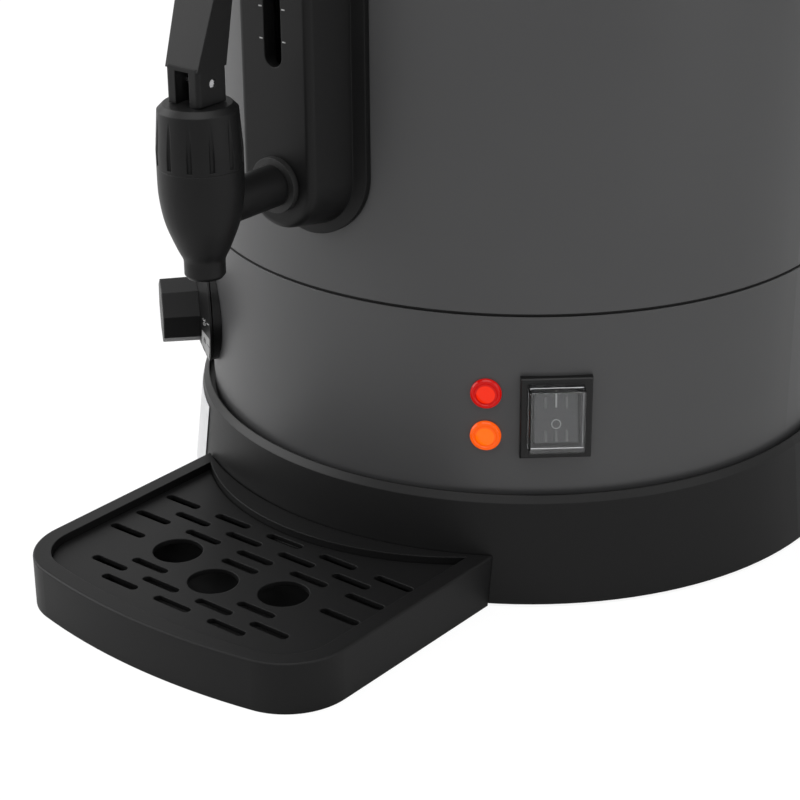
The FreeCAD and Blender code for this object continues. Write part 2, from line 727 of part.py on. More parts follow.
def sight_tube():
    low = TUBE_BOTTOM_Z + 2
    return ring(TUBE_R - 0.5, TUBE_R - 0.5 - TUBE_WALL, low, TUBE_TOP_Z - 2 - low, 0, -TUBE_AT)


def tube_grommets():
    lower = ring(TUBE_R + 0.4, TUBE_R - 0.5, TUBE_BOTTOM_Z + 2, GROMMET_T, 0, -TUBE_AT)
    upper = ring(TUBE_R + 0.4, TUBE_R - 0.5, TUBE_TOP_Z - 2 - GROMMET_T, GROMMET_T, 0, -TUBE_AT)
    return Part.makeCompound([lower, upper])


def tap_washer():
    """Seal between the tap's shoulder and the face of the housing."""
    return rod(COLLAR_R, HOUSING_OUT, HOUSING_OUT + COLLAR_T, 0, TAP_Z).cut(
        rod(THREAD_R, HOUSING_OUT - 1, HOUSING_OUT + COLLAR_T + 1, 0, TAP_Z))


TANK_FLAT = math.sqrt(TANK_R ** 2 - TAP_NUT_R ** 2)


def tank_seal():
    """Silicone washer that follows the tank's curve under the nut."""
    shape = rod(TAP_NUT_R - 0.5, TANK_FLAT - WASHER_T, TANK_R + 1, 0, TAP_Z)
    shape = shape.cut(rod(THREAD_R, TANK_FLAT - 10, TANK_R + 5, 0, TAP_Z))
    return shape.common(disc(TANK_R, TAP_Z - 30, 60))


def tap_nut():
    corners = []
    front = -(TANK_FLAT - WASHER_T)
    for index in range(7):
        turn = math.radians(60 * index)
        corners.append(vec(TAP_NUT_R * math.cos(turn), front, TAP_Z + TAP_NUT_R * math.sin(turn)))
    body = Part.Face(Part.makePolygon(corners)).extrude(vec(0, TAP_NUT_T, 0))
    return body.cut(rod(THREAD_R, TANK_R - 30, TANK_R + 5, 0, TAP_Z))


# Thermostat

def knob_bezel():
    shape = rod(BEZEL_R, SHELL_R - 12, BEZEL_OUT, 0, KNOB_Z).cut(disc(SHELL_R, 0, 200))
    shape = shape.cut(rod(SHAFT_R + 3.0, SHELL_R - 20, SHELL_R + 20, 0, KNOB_Z))
    return turned(shape, KNOB_TURN)


def dial_skirt():
    """Conical skirt round the foot of the knob, which carries the scale."""
    cone = Part.makeCone(SKIRT_R, KNOB_R, SKIRT_OUT - SKIRT_BACK - SKIRT_EDGE,
                         vec(0, -SKIRT_BACK - SKIRT_EDGE, KNOB_Z), vec(0, -1, 0))
    edge = rod(SKIRT_R, SKIRT_BACK, SKIRT_BACK + SKIRT_EDGE, 0, KNOB_Z)
    shape = cone.fuse(edge).cut(rod(SHAFT_R, SKIRT_BACK - 5, SKIRT_OUT + 5, 0, KNOB_Z))
    return turned(shape, KNOB_TURN)


def thermostat_knob():
    """Eight-sided grip, slightly narrower at its outer end."""
    def outline(radius, out):
        corners = []
        for index in range(KNOB_SIDES + 1):
            turn = math.radians(KNOB_FIRST + 360.0 * index / KNOB_SIDES)
            corners.append(vec(radius * math.cos(turn), -out, KNOB_Z + radius * math.sin(turn)))
        return Part.makePolygon(corners)

    shape = Part.makeLoft([outline(KNOB_R, SKIRT_OUT), outline(KNOB_R - 0.2, KNOB_OUT)], True, True)
    shape = shape.makeFillet(0.5, [e for e in shape.Edges if outer_end(e)])
    shape = shape.cut(rod(SHAFT_R, SKIRT_OUT - 2, KNOB_OUT - 3, 0, KNOB_Z))
    return turned(shape, KNOB_TURN)


def outer_end(edge):
    return all(abs(v.Y + KNOB_OUT) < 0.01 for v in edge.Vertexes)


THERMO_FRONT = SHELL_R - SHELL_WALL - 6.0


def thermostat_shaft():
    shape = rod(SHAFT_R, THERMO_FRONT - THERMO_D + 2, KNOB_OUT - 3, 0, KNOB_Z)
    return turned(shape, KNOB_TURN)


def thermostat_body():
    half = THERMO_W / 2
    shape = box(-half, half, -THERMO_FRONT, -THERMO_FRONT + THERMO_D,
                KNOB_Z - THERMO_H / 2, KNOB_Z + THERMO_H / 2)
    shape = shape.makeFillet(2.0, [e for e in shape.Edges if upright(e)])
    bush = rod(SHAFT_R + 2.6, THERMO_FRONT - 1, SHELL_R - SHELL_WALL - 0.2, 0, KNOB_Z)
    flange = rod(8.0, SHELL_R - SHELL_WALL - 3.2, SHELL_R - SHELL_WALL - 1.4, 0, KNOB_Z)
    shape = shape.fuse([bush, flange])
    shape = shape.cut(rod(SHAFT_R + SHAFT_CLEAR, THERMO_FRONT - THERMO_D + 1.9,
                          SHELL_R + 5, 0, KNOB_Z))
    return turned(shape, KNOB_TURN)


def thermo_point(side, inward, z):
    """Point beside the thermostat's back face."""
    turn = math.radians(KNOB_TURN)
    out = THERMO_FRONT - THERMO_D - inward
    x = side * math.cos(turn) + out * math.sin(turn)
    y = side * math.sin(turn) - out * math.cos(turn)
    return vec(x, y, z)


BULB_Z = TANK_FLOOR_Z - TANK_WALL - BULB_R - 0.1


def capillary_tube():
    """Thin tube from the back of the thermostat, up and across to the bulb."""
    bend = CAPILLARY_BEND
    start = thermo_point(0, 0, KNOB_Z + 6)
    inward = thermo_point(0, 1, 0).sub(thermo_point(0, 0, 0))
    corner = start + inward * CAPILLARY_STEP
    corner_up = vec(corner.x, corner.y, BULB_Z)
    a = corner - inward * bend
    b = vec(corner.x, corner.y, corner.z + bend)
    c = corner_up - vec(0, 0, bend)
    d = corner_up + inward * bend
    turn_45 = bend * (1 - math.cos(math.radians(45)))
    mid_1 = corner - inward * turn_45 + vec(0, 0, turn_45)
    mid_2 = corner_up + inward * turn_45 - vec(0, 0, turn_45)
    edges = [Part.makeLine(start, a), Part.Arc(a, mid_1, b).toShape(), Part.makeLine(b, c),
             Part.Arc(c, mid_2, d).toShape()]
    path = Part.Wire(edges)
    section = Part.Wire([Part.makeCircle(CAPILLARY_R, start, inward)])
    return path.makePipeShell([section], True, False)


def sensor_bulb():
    inward = thermo_point(0, 1, 0).sub(thermo_point(0, 0, 0))
    start = thermo_point(0, CAPILLARY_STEP + CAPILLARY_BEND, BULB_Z)
    bulb = Part.makeCylinder(BULB_R, BULB_L, start, inward)
    clip = Part.makeBox(8, 8, BULB_R + 0.1, vec(-4, -4, 0))
    clip.translate(start + inward * (BULB_L / 2))
    return bulb.fuse(clip).removeSplitter()


# Lamps and switch

def lamp(z):
    """Domed lens with the barrel behind it."""
    front = SHELL_R + LAMP_OUT
    lens = rod(LAMP_R, SHELL_R - 1.0, front, 0, z)
    rim = [e for e in lens.Edges if len(e.Vertexes) == 1 and abs(e.Vertexes[0].Y + front) < 0.01]
    lens = lens.makeFillet(1.1, rim).cut(disc(SHELL_R, 0, 200))
    barrel = rod(LAMP_R - 1.0, SHELL_R - 12, SHELL_R + 0.4, 0, z)
    return turned(lens.fuse(barrel).removeSplitter(), LAMP_TURN)


def lamp_nuts():
    shapes = []
    for z in LAMP_Z:
        flat = SHELL_R - SHELL_WALL - 0.3
        nut = rod(LAMP_R + 1.6, flat - 3, flat, 0, z).cut(rod(LAMP_R - 1.0, flat - 5, flat + 1, 0, z))
        shapes.append(turned(nut, LAMP_TURN))
    return Part.makeCompound(shapes)


SWITCH_BODY_W = COVER_W - 0.4
SWITCH_BODY_H = COVER_H - 0.4
ROCKER_AXIS_OUT = SWITCH_OUT - ROCKER_SINK


def switch_frame():
    """Bezel on the band with the switch's body behind it, open at the front."""
    half_w = SWITCH_W / 2
    half_h = SWITCH_H / 2
    bezel = box(-half_w, half_w, -SWITCH_OUT, -SHELL_R + 4, SWITCH_Z - half_h, SWITCH_Z + half_h)
    front = [e for e in bezel.Edges if all(abs(v.Y + SWITCH_OUT) < 0.01 for v in e.Vertexes)]
    bezel = bezel.makeFillet(0.8, front).cut(disc(SHELL_R, 0, 200))
    body_w = SWITCH_BODY_W / 2
    body_h = SWITCH_BODY_H / 2
    body = box(-body_w, body_w, -SHELL_R - 0.5, -SHELL_R + 22, SWITCH_Z - body_h, SWITCH_Z + body_h)
    room_w = ROCKER_W / 2 + ROCKER_CLEAR
    room_h = ROCKER_H / 2 + ROCKER_CLEAR
    room = box(-room_w, room_w, -SWITCH_OUT - 5, -SHELL_R + 12, SWITCH_Z - room_h, SWITCH_Z + room_h)
    shape = bezel.fuse(body).cut(room)
    pivots = []
    for side in (-1, 1):
        start = vec(side * (room_w + 1), -ROCKER_AXIS_OUT, SWITCH_Z)
        pivots.append(Part.makeCylinder(1.5, 1.6, start, vec(-side, 0, 0)))
    shape = shape.fuse(pivots).removeSplitter()
    return turned(shape, SWITCH_TURN)


def rocker():
    """Rocker pressed in at its top, on two small pivots of the frame."""
    half_w = ROCKER_W / 2
    half_h = ROCKER_H / 2
    face = ROCKER_AXIS_OUT + ROCKER_FACE
    slab = box(-half_w, half_w, -face, -face + ROCKER_T, SWITCH_Z - half_h + 0.6,
               SWITCH_Z + half_h - 0.6)
    hollow_at = vec(-half_w - 2, -face - ROCKER_HOLLOW_R + ROCKER_HOLLOW, SWITCH_Z)
    slab = slab.cut(Part.makeCylinder(ROCKER_HOLLOW_R, ROCKER_W + 4, hollow_at, AXIS_X))
    boss_at = vec(-half_w, -ROCKER_AXIS_OUT, SWITCH_Z)
    slab = slab.fuse(Part.makeCylinder(ROCKER_BOSS_R, ROCKER_W, boss_at, AXIS_X))
    sockets = []
    for side in (-1, 1):
        start = vec(side * (half_w + 0.5), -ROCKER_AXIS_OUT, SWITCH_Z)
        sockets.append(Part.makeCylinder(1.56, 1.8, start, vec(-side, 0, 0)))
    slab = slab.cut(sockets).removeSplitter()
    slab.rotate(vec(0, -ROCKER_AXIS_OUT, SWITCH_Z), AXIS_X, -ROCKER_TILT)
    return turned(slab, SWITCH_TURN)


def splash_cover():
    """Clear cap over the rocker, held in the bezel."""
    half_w = COVER_W / 2
    half_h = COVER_H / 2
    front = SWITCH_OUT + COVER_OUT
    outer = box(-half_w, half_w, -front, -SWITCH_OUT, SWITCH_Z - half_h, SWITCH_Z + half_h)
    rounded = [e for e in outer.Edges if not all(abs(v.Y + SWITCH_OUT) < 0.01 for v in e.Vertexes)]
    outer = outer.makeFillet(1.0, rounded)
    wall = COVER_WALL
    inner = box(-half_w + wall, half_w - wall, -front + wall, -SWITCH_OUT + 1,
                SWITCH_Z - half_h + wall, SWITCH_Z + half_h - wall)
    return turned(outer.cut(inner), SWITCH_TURN)


# Power inlet and boil-dry cut-out

def power_inlet():
    """Three-pin inlet with its recess facing back."""
    half_w = INLET_W / 2 - 0.2
    half_h = INLET_H / 2 - 0.2
    low = INLET_Z - half_h
    high = INLET_Z + half_h
    flange = box(-half_w - 2, half_w + 2, PAD_OUT, PAD_OUT + 2, low - 2, high + 2)
    body = box(-half_w, half_w, PAD_OUT - INLET_D, PAD_OUT + 1, low, high)
    recess = box(-half_w + 2, half_w - 2, PAD_OUT - INLET_D + 3, PAD_OUT + 3, low + 2, high - 2)
    return flange.fuse(body).cut(recess).cut(inlet_pins()).removeSplitter()


def inlet_pins():
    shapes = []
    for x, z in ((-7.0, -1.5), (0.0, 2.5), (7.0, -1.5)):
        shapes.append(box(x - 1, x + 1, PAD_OUT - INLET_D - 6, PAD_OUT - 3, INLET_Z + z - 2,
                          INLET_Z + z + 2))
    return Part.makeCompound(shapes)


def terminal_block():
    y = 70.0
    shape = box(-22, 22, y, y + 16, COVER_TOP, COVER_TOP + 14)
    holes = [disc(2.0, COVER_TOP + 5, 12, x, y + 8) for x in (-16.5, -5.5, 5.5, 16.5)]
    return shape.cut(holes)


def reset_button():
    shape = reset_rod(RESET_R, RESET_FACE - 9, RESET_FACE + RESET_STAND)
    return shape.fuse(reset_rod(RESET_R + 0.9, RESET_FACE - 10, RESET_FACE - 8)).removeSplitter()


def cutout_body():
    """Boil-dry cut-out behind the base wall, with the nose that guides its button."""
    direction = reset_place(1).sub(reset_place(0))
    nose = reset_rod(RESET_R + 2.0, RESET_FACE - 12, RESET_FACE + 1.2)
    block = reset_rod(10.0, RESET_FACE - 22, RESET_FACE - 12)
    shape = nose.fuse(block)
    shape = shape.cut(reset_rod(RESET_R + RESET_CLEAR, RESET_FACE - 12, RESET_FACE + 5))
    shape = shape.cut(reset_rod(RESET_R + 1.1, RESET_FACE - 14, RESET_FACE - 7.6))
    return shape.removeSplitter()


# Handles

def handle_screw_hole(side, offset):
    z = HANDLE_Z
    reach = HANDLE_W / 2 - HANDLE_BAR_R
    hole = Part.makeCylinder(2.2, 30, vec(offset * reach, -SHELL_R + 15, z), vec(0, -1, 0))
    return turned(hole, side)


def side_handle(side):
    """Bow-shaped grip with a foot at each end."""
    reach = HANDLE_W / 2 - HANDLE_BAR_R
    bend = 18.0
    inner = math.sqrt(SHELL_R ** 2 - reach ** 2) - 2
    out = SHELL_R + HANDLE_OUT - HANDLE_BAR_R
    z = HANDLE_Z
    p0 = vec(-reach, -inner, z)
    p1 = vec(-reach, -(out - bend), z)
    p2 = vec(-(reach - bend), -out, z)
    p3 = vec(reach - bend, -out, z)
    p4 = vec(reach, -(out - bend), z)
    p5 = vec(reach, -inner, z)
    inset = bend * (1 - math.cos(math.radians(45)))
    m1 = vec(-(reach - inset), -(out - inset), z)
    m2 = vec(reach - inset, -(out - inset), z)
    edges = [Part.makeLine(p0, p1), Part.Arc(p1, m1, p2).toShape(), Part.makeLine(p2, p3),
             Part.Arc(p3, m2, p4).toShape(), Part.makeLine(p4, p5)]
    section = Part.Wire([Part.makeCircle(HANDLE_BAR_R, p0, vec(0, -1, 0))])
    bar = Part.Wire(edges).makePipeShell([section], True, False)
    feet = []
    for offset in (-1, 1):
        foot = Part.makeCylinder(HANDLE_BAR_R + 5, 40, vec(offset * reach, -inner + 6, z),
                                 vec(0, -1, 0))
        feet.append(foot.common(disc(SHELL_R + HANDLE_PAD_T, z - 30, 60)))
    shape = bar.fuse(feet).cut(disc(SHELL_R, z - 40, 80))
    holes = []
    for offset in (-1, 1):
        holes.append(Part.makeCylinder(2.0, 32, vec(offset * reach, -inner + 10, z), vec(0, -1, 0)))
    return turned(shape.cut(holes).removeSplitter(), side)


def handle_screws():
    """Screws from inside the jacket into the feet of both handles."""
    reach = HANDLE_W / 2 - HANDLE_BAR_R
    flat = math.sqrt((SHELL_R - SHELL_WALL) ** 2 - (reach + SCREW_HEAD_R) ** 2)
    shapes = []
    for side in (-90, 90):
        for offset in (-1, 1):
            x = offset * reach
            shank = Part.makeCylinder(2.0, 17, vec(x, -flat, HANDLE_Z), vec(0, -1, 0))
            head = Part.makeCylinder(SCREW_HEAD_R, 2, vec(x, -flat + 2, HANDLE_Z), vec(0, -1, 0))
            shapes.append(turned(shank.fuse(head), side))
    return Part.makeCompound(shapes)


# Lid

LID_Z = JACKET_TOP_Z + RIM_RING_H - RIM_RING_SKIRT


def ball(radius, rise, z):
    """Sphere whose cap has this radius at a height and rises this far above it."""
    ball_r = (radius ** 2 + rise ** 2) / (2 * rise)
    return Part.makeSphere(ball_r, vec(0, 0, z + rise - ball_r))


def dome(radius, rise, z):
    return ball(radius, rise, z).common(disc(radius, z, rise + 1))


def lid_shell():
    """Domed lid on a flat rolled edge, with a plug down into the tank's mouth."""
    low = LID_Z + LID_SEAL_T
    edge = ring(LID_R, LID_PLUG_R - 12, low, LID_EDGE_T + LID_WALL)
    cap = dome(LID_R - LID_EDGE_W, LID_RISE, low + LID_EDGE_T)
    hollow = dome(LID_R - LID_EDGE_W - LID_WALL, LID_RISE - LID_WALL, low + LID_EDGE_T - 0.5)
    plug = ring(LID_PLUG_R, LID_PLUG_R - LID_WALL, low - LID_PLUG_H, LID_PLUG_H + 2)
    knob_hole = disc(2.5, low, LID_RISE + 20)
    vent = disc(2.5, low, LID_RISE + 20, 0, -62)
    return cap.cut(hollow).fuse([edge, plug]).cut([knob_hole, vent]).removeSplitter()


def lid_seal():
    return ring(LID_R - 6, LID_PLUG_R, LID_Z, LID_SEAL_T)


LID_TOP = LID_Z + LID_SEAL_T + LID_EDGE_T + LID_RISE


def lid_knob():
    low = LID_TOP - 0.6
    points = [(2.0, low), (11.0, low), (8.5, low + 7), (LID_KNOB_R, low + 14),
              (LID_KNOB_R, low + 19), (LID_KNOB_R - 4, low + LID_KNOB_H), (0, low + LID_KNOB_H),
              (0, low + 16), (2.0, low + 16)]
    return revolved(points).cut(ball(LID_R - LID_EDGE_W, LID_RISE, LID_TOP - LID_RISE))


def lid_knob_screw():
    low = LID_TOP - LID_WALL - 0.2
    return disc(2.0, low - 0.5, 17).fuse(disc(4.5, low - 3.0, 2.6))


def vent_cap():
    """Steam vent pressed into the lid near its front."""
    r = 62.0
    radius = LID_R - LID_EDGE_W
    ball_r = (radius ** 2 + LID_RISE ** 2) / (2 * LID_RISE)
    top = LID_TOP - ball_r + math.sqrt(ball_r ** 2 - r ** 2)
    body = disc(2.45, top - 4, 6, 0, -r)
    head = disc(6.0, top + 0.9, 2.4, 0, -r)
    return head.fuse(body).cut(disc(1.2, top - 6, 12, 0, -r))


# Drip tray

def tray_outline(inset, z):
    """Sides straight, a gently bowed front and round corners; the back is cut separately."""
    half = TRAY_HALF_W - inset
    front = TRAY_FRONT - inset
    corner_r = TRAY_CORNER_R - inset
    bow_r = TRAY_BOW_R
    bow_y = -(front - bow_r)
    corner_x = half - corner_r
    corner_y = bow_y - math.sqrt((bow_r - corner_r) ** 2 - corner_x ** 2)
    lean = math.atan2(corner_x, bow_y - corner_y)
    touch = vec(corner_x + corner_r * math.sin(lean), corner_y - corner_r * math.cos(lean), z)
    middle = (math.pi / 2 + lean) / 2
    side_point = vec(corner_x + corner_r * math.sin(middle), corner_y - corner_r * math.cos(middle), z)
    back = -100.0

    def mirrored(p):
        return vec(-p.x, p.y, z)

    side_end = vec(half, corner_y, z)
    edges = [Part.makeLine(vec(half, back, z), side_end),
             Part.Arc(side_end, side_point, touch).toShape(),
             Part.Arc(touch, vec(0, -front, z), mirrored(touch)).toShape(),
             Part.Arc(mirrored(touch), mirrored(side_point), mirrored(side_end)).toShape(),
             Part.makeLine(mirrored(side_end), vec(-half, back, z)),
             Part.makeLine(vec(-half, back, z), vec(half, back, z))]
    return Part.Face(Part.Wire(edges))


def tray_block(inset, low, high):
    return tray_outline(inset, low).extrude(vec(0, 0, high - low))


def base_cone(clear, low, high):
    """The base wall's cone, grown by a clearance."""
    return Part.makeCone(base_wall_r(low) + clear, base_wall_r(high) + clear, high - low,
                         vec(0, 0, low), UP)


GRILLE_BACK_R = 103.0      # the grille's back edge curves more than the base
GRILLE_BACK_AT = 147.3
TRAY_TOP = TRAY_Z + TRAY_H


def back_bulge(grow, low, high):
    """What the back rim keeps from the grille's recess."""
    centre = -(GRILLE_BACK_AT - GRILLE_BACK_R)
    return disc(GRILLE_BACK_R + grow, low, high - low, 0, centre)


def hook_box(side, clear, length):
    """Tongue on the tray's back, or its slot in the base wall."""
    x = side * HOOK_AT
    wall_y = -math.sqrt(base_wall_r(TRAY_Z) ** 2 - (abs(x) + HOOK_W / 2) ** 2)
    return box(x - HOOK_W / 2 - clear, x + HOOK_W / 2 + clear, wall_y - 8, wall_y + length,
               HOOK_Z - clear, HOOK_Z + HOOK_H + clear)


def drip_tray():
    shape = tray_block(0, TRAY_Z, TRAY_TOP)
    shape = shape.makeFillet(1.0, [e for e in shape.Edges if top_rim_edge(e)])
    shape = shape.cut(base_cone(TRAY_CLEAR, TRAY_Z - 1, TRAY_TOP + 1))
    recess = tray_block(TRAY_RIM, TRAY_TOP - GRILLE_SINK - GRILLE_T, TRAY_TOP + 1)
    recess = recess.cut(back_bulge(0, TRAY_Z, TRAY_TOP + 2))
    basin = tray_block(TRAY_RIM + 3, TRAY_Z + TRAY_WALL, TRAY_TOP)
    basin = basin.cut(back_bulge(3, TRAY_Z, TRAY_TOP + 2))
    shape = shape.cut([recess, basin])
    hooks = [hook_box(side, 0, HOOK_L) for side in (-1, 1)]
    return shape.fuse(hooks).removeSplitter()


def top_rim_edge(edge):
    on_top = all(abs(v.Z - TRAY_TOP) < 0.01 for v in edge.Vertexes)
    return on_top and min(v.Y for v in edge.Vertexes) < -100.5


def slot(x, out, z):
    half = (SLOT_L - SLOT_W) / 2
    r = SLOT_W / 2
    bar = box(x - half, x + half, -out - r, -out + r, z - 1, z + GRILLE_T + 1)
    ends = [disc(r, z - 1, GRILLE_T + 2, x + s * half, -out) for s in (-1, 1)]
    return bar.fuse(ends)


def slot_places():
    """Brick pattern: whole and half steps by turns, left out round the big holes."""
    places = []
    for row in range(4):
        out = BACK_ROW_AT + BACK_ROW_STEP * row
        if row == 3:
            steps = [0]
        elif row == 1:
            steps = [-1.5, -0.5, 0.5, 1.5]
        else:
            steps = [-2, -1, 0, 1, 2]
        places += [(step * SLOT_PITCH, out) for step in steps]
    places += [(side * 2 * SLOT_PITCH, SIDE_HOLE_AT) for side in (-1, 1)]
    front_rows = ([-1, 1], [-1.5, -0.5, 0.5, 1.5], [-1, 0, 1])
    for row, steps in enumerate(front_rows):
        out = FRONT_ROW_AT + FRONT_ROW_STEP * row
        places += [(step * SLOT_PITCH, out) for step in steps]
    return places


GRILLE_Z = TRAY_TOP - GRILLE_SINK - GRILLE_T


def tray_grille():
    plate = tray_block(TRAY_RIM + GRILLE_CLEAR, GRILLE_Z, GRILLE_Z + GRILLE_T)
    plate = plate.cut(back_bulge(GRILLE_CLEAR, TRAY_Z, TRAY_TOP + 2))
    cuts = [slot(x, out, GRILLE_Z) for x, out in slot_places()]
    for x, out in ((0, HOLE_AT), (-SLOT_PITCH, SIDE_HOLE_AT), (SLOT_PITCH, SIDE_HOLE_AT)):
        cuts.append(disc(HOLE_R, GRILLE_Z - 1, GRILLE_T + 2, x, -out))
    return plate.cut(cuts)


NODES = {
    "foot_ring": foot_ring,
    "base_housing": base_housing,
    "bottom_cover": bottom_cover,
    "base_screws": base_screws,
    "blank_plate": blank_plate,
    "control_band": control_band,
    "seam_ring": seam_ring,
    "outer_jacket": outer_jacket,
    "inner_tank": inner_tank,
    "rim_ring": rim_ring,
    "insulation_sleeve": insulation_sleeve,
    "tank_posts": tank_posts,
    "heater_plate": heater_plate,
    "heating_element": heating_element,
    "keep_warm_element": keep_warm_element,
    "heater_clamp": heater_clamp,
    "heater_nuts": heater_nuts,
    "tap_body": tap_body,
    "tap_washer": tap_washer,
    "tank_seal": tank_seal,
    "tap_nut": tap_nut,
    "bonnet": bonnet,
    "valve_stem": valve_stem,
    "seat_cup": seat_cup,
    "tap_spring": tap_spring,
    "tap_lever": tap_lever,
    "lever_pin": lever_pin,
    "gauge_housing": gauge_housing,
    "gauge_elbow": gauge_elbow,
    "sight_tube": sight_tube,
    "tube_grommets": tube_grommets,
    "knob_bezel": knob_bezel,
    "dial_skirt": dial_skirt,
    "thermostat_knob": thermostat_knob,
    "thermostat_shaft": thermostat_shaft,
    "thermostat_body": thermostat_body,
    "capillary_tube": capillary_tube,
    "sensor_bulb": sensor_bulb,
    "red_lamp": lambda: lamp(LAMP_Z[0]),
    "orange_lamp": lambda: lamp(LAMP_Z[1]),
    "lamp_nuts": lamp_nuts,
    "switch_frame": switch_frame,
    "rocker": rocker,
    "splash_cover": splash_cover,
    "power_inlet": power_inlet,
    "inlet_pins": inlet_pins,
    "terminal_block": terminal_block,
    "cutout_body": cutout_body,
    "reset_button": reset_button,
    "left_handle": lambda: side_handle(-90),
    "right_handle": lambda: side_handle(90),
    "handle_screws": handle_screws,
    "lid_shell": lid_shell,
    "lid_seal": lid_seal,
    "lid_knob": lid_knob,
    "lid_knob_screw": lid_knob_screw,
    "vent_cap": vent_cap,
    "drip_tray": drip_tray,
    "tray_grille": tray_grille,
}


def main():
    os.makedirs("parts", exist_ok=True)
    for name, build in NODES.items():
        shape = build()
        save(name, shape)
        box_of = shape.BoundBox
        print("%-20s solids %d valid %s volume %.0f  x %.1f..%.1f y %.1f..%.1f z %.1f..%.1f" % (
            name, len(shape.Solids), shape.isValid(), shape.Volume, box_of.XMin, box_of.XMax,
            box_of.YMin, box_of.YMax, box_of.ZMin, box_of.ZMax))


main()
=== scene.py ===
"""Hot water urn: finishes, small details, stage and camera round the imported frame.

Metres, +Z up, the front faces -Y. A turn is an angle about Z from the front, positive
towards +X, and a place on the wall is a turn, a distance out from the axis and a height.
"""
import json
import math

import bpy
from bpy.props import FloatProperty, FloatVectorProperty, IntProperty, PointerProperty
from mathutils import Matrix, Vector


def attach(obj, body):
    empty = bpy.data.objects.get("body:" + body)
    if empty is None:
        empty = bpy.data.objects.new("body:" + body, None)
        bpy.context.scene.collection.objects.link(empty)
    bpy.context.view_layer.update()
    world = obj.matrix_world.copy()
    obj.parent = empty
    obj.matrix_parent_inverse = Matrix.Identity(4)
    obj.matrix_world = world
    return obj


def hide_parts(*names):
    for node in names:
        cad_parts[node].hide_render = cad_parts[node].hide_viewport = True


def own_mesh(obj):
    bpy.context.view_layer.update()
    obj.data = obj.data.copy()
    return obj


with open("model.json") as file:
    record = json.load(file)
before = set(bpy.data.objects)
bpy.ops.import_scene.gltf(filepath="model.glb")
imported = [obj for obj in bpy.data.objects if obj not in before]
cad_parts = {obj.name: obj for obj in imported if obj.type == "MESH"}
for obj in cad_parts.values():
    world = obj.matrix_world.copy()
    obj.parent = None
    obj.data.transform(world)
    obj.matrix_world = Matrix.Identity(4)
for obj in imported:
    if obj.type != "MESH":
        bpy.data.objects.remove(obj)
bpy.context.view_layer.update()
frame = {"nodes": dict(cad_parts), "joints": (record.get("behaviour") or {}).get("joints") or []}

bl_info = {
    "name": "Hot Water Urn",
    "version": (1, 0, 0),
    "blender": (4, 5, 0),
    "location": "View3D > Sidebar > Urn",
    "description": "Dresses the packed hot water urn and sets it on a pale stage",
    "category": "Object",
}

MM = 0.001

# Places that the CAD source gives
TAP_OUT = 188.5 * MM
SPRING_LOW = 158.6 * MM
SPRING_TOP = 197.5 * MM
KNOB_TURN = -41.5
KNOB_Z = 76.0 * MM
SKIRT_R = 22.0 * MM
SKIRT_FRONT_R = 13.6 * MM
SKIRT_EDGE_OUT = 133.1 * MM
SKIRT_FRONT_OUT = 136.2 * MM
DIAL_NUMBERS = 9
DIAL_FIRST = -88.0         # degrees from the top; less is further clockwise
DIAL_SWEEP = 250.0
BAND_SWEEP = 148.0         # printed band round the skirt's lower part
LAMP_TURN = 30.46
SHELL_R = 130.0 * MM
SWITCH_TURN = 41.8
SWITCH_Z = 75.3 * MM
ROCKER_AXIS_OUT = 128.4 * MM
ROCKER_TILT = math.radians(-12.0)
ROCKER_HOLLOW_R = 70.0 * MM
ROCKER_MIDDLE = 3.0 * MM
GAUGE_FACE_OUT = 150.0 * MM
WINDOW_LOW = 208.0 * MM
WINDOW_HIGH = 322.0 * MM

# Pilot lamps: height, colour of the middle and colour of the ring round it
LAMPS = {
    "red_lamp": (84.1 * MM, (0.80, 0.022, 0.003), (0.42, 0.0, 0.0)),
    "orange_lamp": (67.1 * MM, (0.95, 0.145, 0.003), (0.80, 0.085, 0.001)),
}
LENS_STEPS = ((0, 1.15), (0.55, 0.65), (0.75, 0.12), (0.35, -0.45), (0.30, 0.10),
              (0.45, 0.42), (0.9, 0.22), (1.1, 0.08))   # inset and rise, mm
LENS_SINK = 0.15 * MM      # the lens starts this far inside the wall
BARREL_INSET = 1.0 * MM
BARREL_DEPTH = 12.0 * MM
BARREL_STEPS = ((0, 11.9),)
GLOW_RADII = (3.2 * MM, 3.75 * MM)      # the middle's colour gives way to the ring's

# Bars are width, length and height in mm; places on the rocker are across and up, mm
LINE_BAR = (0.7, 6.0, 0.24)
LINE_PLACE = (0.0, 6.2)
RING_R = 1.65 * MM
RING_WIRE_R = 0.22 * MM
RING_PLACE = (0.0, -3.0)
GRIP_BAR = (0.8, 4.4, 0.34)
GRIP_PLACES = ((-3.9, 5.0), (3.9, 5.0), (-3.9, -7.3), (0.0, -7.3), (3.9, -7.3))
DIAL_TEXT = 3.3 * MM
DIAL_TEXT_T = 0.24 * MM
DIAL_TEXT_R = 17.0 * MM
TICK_BAR = (0.45, 2.2, 0.24)
TICK_R = 20.2 * MM
BAND_RADII = (21.3 * MM, 14.6 * MM)
BAND_T = 0.12 * MM
LEVEL_BAR = (1.5, 0.5, 0.2)
LEVEL_ACROSS = 5.3 * MM

# Stage: softboxes are name, place, size and power
SOFTBOXES = (("left_softbox", (-1.5, -0.9, 0.9), (1.6, 1.4), 29),
             ("top_softbox", (0.3, -0.5, 1.9), (1.6, 1.6), 22),
             ("right_softbox", (1.7, 0.1, 0.8), (1.0, 1.4), 8))
SOFTBOX_AIM = (0, 0, 0.2)
WORLD_LEVEL = 0.45         # the world's light on the urn; the camera sees it at 1
FLOOR_GLOW = 1.1
FLOOR_GLOW_SHARE = 0.8

# Sockets of a Mix node that mixes colours
MIX_SHARE, MIX_FIRST, MIX_SECOND, MIX_RESULT = 0, 6, 7, 2

